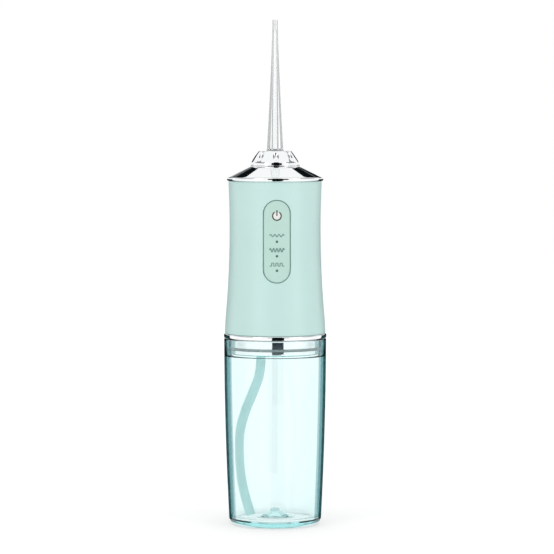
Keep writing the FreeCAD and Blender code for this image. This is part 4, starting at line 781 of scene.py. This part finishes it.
def build_tube(line, ro, ri, n=48):
    """A hollow tube in one plane of constant y: its section keeps its own side up."""
    verts, faces, outer, inner = [], [], [], []
    for i, p in enumerate(line):
        d = (line[min(i + 1, len(line) - 1)] - line[max(i - 1, 0)]).normalized()
        u = Vector((0, 1, 0))
        w = d.cross(u).normalized()
        for r, rings in ((ro, outer), (ri, inner)):
            rings.append([tuple((p / MM) + (u * math.cos(2 * math.pi * k / n) + w * math.sin(2 * math.pi * k / n)) * r) for k in range(n)])
    rings = [inner[0]] + outer + [inner[-1]] + inner[-2:0:-1]
    ids = loft(verts, faces, rings)
    a, b = ids[-1], ids[0]
    for k in range(n):
        faces.append((a[k], a[(k + 1) % n], b[(k + 1) % n], b[k]))
    return new_object("suction_tube_silicone", verts, faces, 50)


line = nurbs_line(ROUTE)
tube = piece(build_tube(line, 2.8, 1.7), "handle", "aqua_silicone", ["suction_tube"])

# ------------------------------------------------------------------------------------------------ the studio
def sheet_mesh(name, corners, material, cut=24):
    bm = bmesh.new()
    vs = [bm.verts.new(c) for c in corners]
    bm.faces.new(vs)
    bmesh.ops.subdivide_edges(bm, edges=bm.edges, cuts=cut, use_grid_fill=True)
    me = bpy.data.meshes.new(name)
    bm.to_mesh(me)
    bm.free()
    me.materials.append(material)
    ob = bpy.data.objects.new(name, me)
    scene.collection.objects.link(ob)
    ob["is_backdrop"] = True
    return ob


def floor_material():
    m, nt, bs, out = nodes_of("studio_floor_white")
    v = coords(nt)
    nt.links.new(mix_color(nt, ramp(nt, noise(nt, v, 3, 4), 0, 1), (0.60, 0.60, 0.60), (0.62, 0.62, 0.62)), bs.inputs["Base Color"])
    bs.inputs["Roughness"].default_value = 0.9
    bs.inputs["Specular IOR Level"].default_value = 0.1
    bs.inputs["Emission Color"].default_value = (1, 1, 1, 1)
    bs.inputs["Emission Strength"].default_value = 0.46
    return m


def flag_material(name, value):
    m, nt, bs, out = nodes_of(name)
    v = coords(nt)
    nt.links.new(mix_color(nt, ramp(nt, noise(nt, v, 8, 4), 0, 1), tuple(c * 0.9 for c in value), value), bs.inputs["Base Color"])
    bs.inputs["Roughness"].default_value = 0.95
    bs.inputs["Specular IOR Level"].default_value = 0.0
    return m


sheet_mesh("studio_floor", [(-3, -3, 0), (3, -3, 0), (3, 3, 0), (-3, 3, 0)], floor_material(), 30)

black = flag_material("flag_black_cloth", (0.004, 0.006, 0.007))


def flag(name, corners, material=black):
    ob = sheet_mesh(name, corners, material, 2)
    ob.visible_camera = False
    ob.visible_diffuse = False
    ob.visible_shadow = False
    return ob


def polar(azimuth, dist, z):
    """A point by its bearing from straight behind the object, to the right."""
    return (dist * math.sin(math.radians(azimuth)), dist * math.cos(math.radians(azimuth)), z)


def arc_flag(name, az0, az1, dist, z0, z1, material=black, steps=16):
    """An upright curved card round the object."""
    bm = bmesh.new()
    lo = [bm.verts.new(polar(az0 + (az1 - az0) * k / steps, dist, z0)) for k in range(steps + 1)]
    hi = [bm.verts.new(polar(az0 + (az1 - az0) * k / steps, dist, z1)) for k in range(steps + 1)]
    for k in range(steps):
        bm.faces.new((lo[k], lo[k + 1], hi[k + 1], hi[k]))
    me = bpy.data.meshes.new(name)
    bm.to_mesh(me)
    bm.free()
    me.materials.append(material)
    ob = bpy.data.objects.new(name, me)
    scene.collection.objects.link(ob)
    ob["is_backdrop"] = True
    ob.visible_camera = False
    ob.visible_diffuse = False
    ob.visible_shadow = False
    return ob


def outline_flag(name, points, material=black):
    """A flat card with any outline: points in space, in order."""
    bm = bmesh.new()
    bm.faces.new([bm.verts.new(p) for p in points])
    me = bpy.data.meshes.new(name)
    bm.to_mesh(me)
    bm.free()
    me.materials.append(material)
    ob = bpy.data.objects.new(name, me)
    scene.collection.objects.link(ob)
    ob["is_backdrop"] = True
    ob.visible_camera = False
    ob.visible_diffuse = False
    ob.visible_shadow = False
    return ob


def floor_flag(name, side, rows, material, z=0.0006):
    """A card lying on the floor: each row is a distance, a first bearing and a last bearing."""
    pts = [polar(side * a, r, z) for r, a, b in rows] + [polar(side * b, r, z) for r, a, b in reversed(rows)]
    return outline_flag(name, pts, material)


deep_card = flag_material("card_deep_teal_cloth", (0.02, 0.06, 0.07))
grey_card = flag_material("flag_grey_cloth", (0.13, 0.135, 0.14))
soft_card = flag_material("flag_soft_grey_cloth", (0.46, 0.47, 0.475))
pale_card = flag_material("flag_pale_cloth", (0.40, 0.41, 0.42))
# front flag: the dark bar in the bright rings and the neck, with a strip on the floor that meets it
FY = -1.05
for flat in (outline_flag("flag_front", [(-0.172, FY, 0), (0.335, FY, 0), (0.335, FY, 0.13), (0.60, FY, 0.15), (0.60, FY, 0.75), (0.335, FY, 0.80), (0.335, FY, 1.9), (-0.172, FY, 1.9), (-0.172, FY, 0.80), (-0.37, FY, 0.75), (-0.37, FY, 0.15), (-0.172, FY, 0.13)]),
    outline_flag("flag_front_floor", [(-0.012, -0.05, 0.0006), (0.02, -0.05, 0.0006), (0.335, FY, 0.0006), (-0.172, FY, 0.0006)]),
):
    flat.visible_transmission = False
navy_card = flag_material("flag_navy_cloth", (0.008, 0.022, 0.03))
for flat in (
    outline_flag("flag_neck_floor", [(-0.09, -0.52, 0.0009), (0.17, -0.52, 0.0009), (0.33, -1.04, 0.0009), (-0.17, -1.04, 0.0009)], navy_card),
    outline_flag("flag_neck_low", [(-0.17, -1.04, 0.0), (0.33, -1.04, 0.0), (0.33, -1.04, 0.11), (-0.17, -1.04, 0.11)], navy_card),
):
    flat.visible_glossy = False
# rear flags beside the background: dark outlines on plated edges, teal in the clear wall
for side in (-1, 1):
    tag = "left" if side < 0 else "right"
    arc_flag("flag_rear_" + tag, side * 13, side * 58, 0.36, 0.086, 0.198).visible_transmission = False
    arc_flag("flag_knob_" + tag, side * 12, side * 36, 0.6, 0.34, 0.46).visible_transmission = False
    # seen only in the gloss of the clear pieces' outer edges
    for flat in (
        arc_flag("card_deep_" + tag, side * 10, side * 60, 0.36, 0.0, 0.086, deep_card),
        floor_flag("card_deep_floor_" + tag, side, [(0.033, 40, 85), (0.06, 28, 75), (0.12, 18, 66), (0.44, 8, 60)], deep_card),
    ):
        flat.visible_transmission = False
    arc_flag("card_nozzle_" + tag, side * 27, side * 85, 0.42, 0.12, 0.37, soft_card).visible_glossy = False
    shade = arc_flag("flag_side_" + tag, side * 72, side * 100, 0.8, 0.0, 0.6)
    shade.visible_diffuse = True
    shade.visible_glossy = False
    shade.visible_transmission = False
    arc_flag("flag_scoop_" + tag, side * 62, side * 128, 0.8, 0.46, 1.05, flag_material("flag_mid_cloth_" + tag, (0.26, 0.265, 0.27)))
# high rear flag: the black wedges of the shoulder, greyer towards their foot
arc_flag("flag_high", -22, 22, 1.2, 0.78, 1.19)
arc_flag("flag_high_foot", -22, 22, 1.2, 0.60, 0.78, grey_card)
arc_flag("flag_high_sill", -22, 22, 1.2, 0.46, 0.60, pale_card)

world = bpy.data.worlds.new("studio_world")
scene.world = world
world.use_nodes = True
bg = world.node_tree.nodes["Background"]
bg.inputs["Color"].default_value = (1.0, 1.0, 1.0, 1)
bg.inputs["Strength"].default_value = 1.0


def softbox(name, loc, target, size, power, color=(1, 1, 1)):
    li = bpy.data.lights.new(name, "AREA")
    li.shape = "RECTANGLE"
    li.size, li.size_y = size
    li.energy = power
    li.color = color
    ob = bpy.data.objects.new(name, li)
    scene.collection.objects.link(ob)
    ob.location = loc
    ob.rotation_euler = (Vector(target) - Vector(loc)).to_track_quat("-Z", "Y").to_euler()
    return ob


softbox("key_left", (-1.1, -1.1, 0.75), (0, 0, 0.15), (0.5, 1.2), 3.0)
softbox("key_right", (1.2, -0.9, 0.6), (0, 0, 0.15), (0.4, 1.2), 2.5)

scene.view_settings.view_transform = "Standard"
scene.view_settings.look = "None"
scene.view_settings.exposure = 0.0
scene.view_settings.gamma = 1.0

az, el, dist = math.radians(-2.3), math.radians(3.1), 1.5
target = Vector((0.0011, 0.0, 0.1436))
back = Vector((math.sin(az) * math.cos(el), -math.cos(az) * math.cos(el), math.sin(el)))
cam = bpy.data.objects.new("camera", bpy.data.cameras.new("camera"))
scene.collection.objects.link(cam)
cam.location = target + back * dist
cam.rotation_euler = (target - cam.location).to_track_quat("-Z", "Y").to_euler()
cam.data.sensor_width = 36
cam.data.lens = 36 * dist / 0.3213
cam.data.clip_start = 0.01
cam.data.clip_end = 50
scene.camera = cam

vis_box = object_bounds()


def plain(b):
    try:
        return [[float(x) for x in p] for p in b]
    except TypeError:
        return [float(x) for x in b]


{"cad": plain(cad_box), "visual": plain(vis_box)}
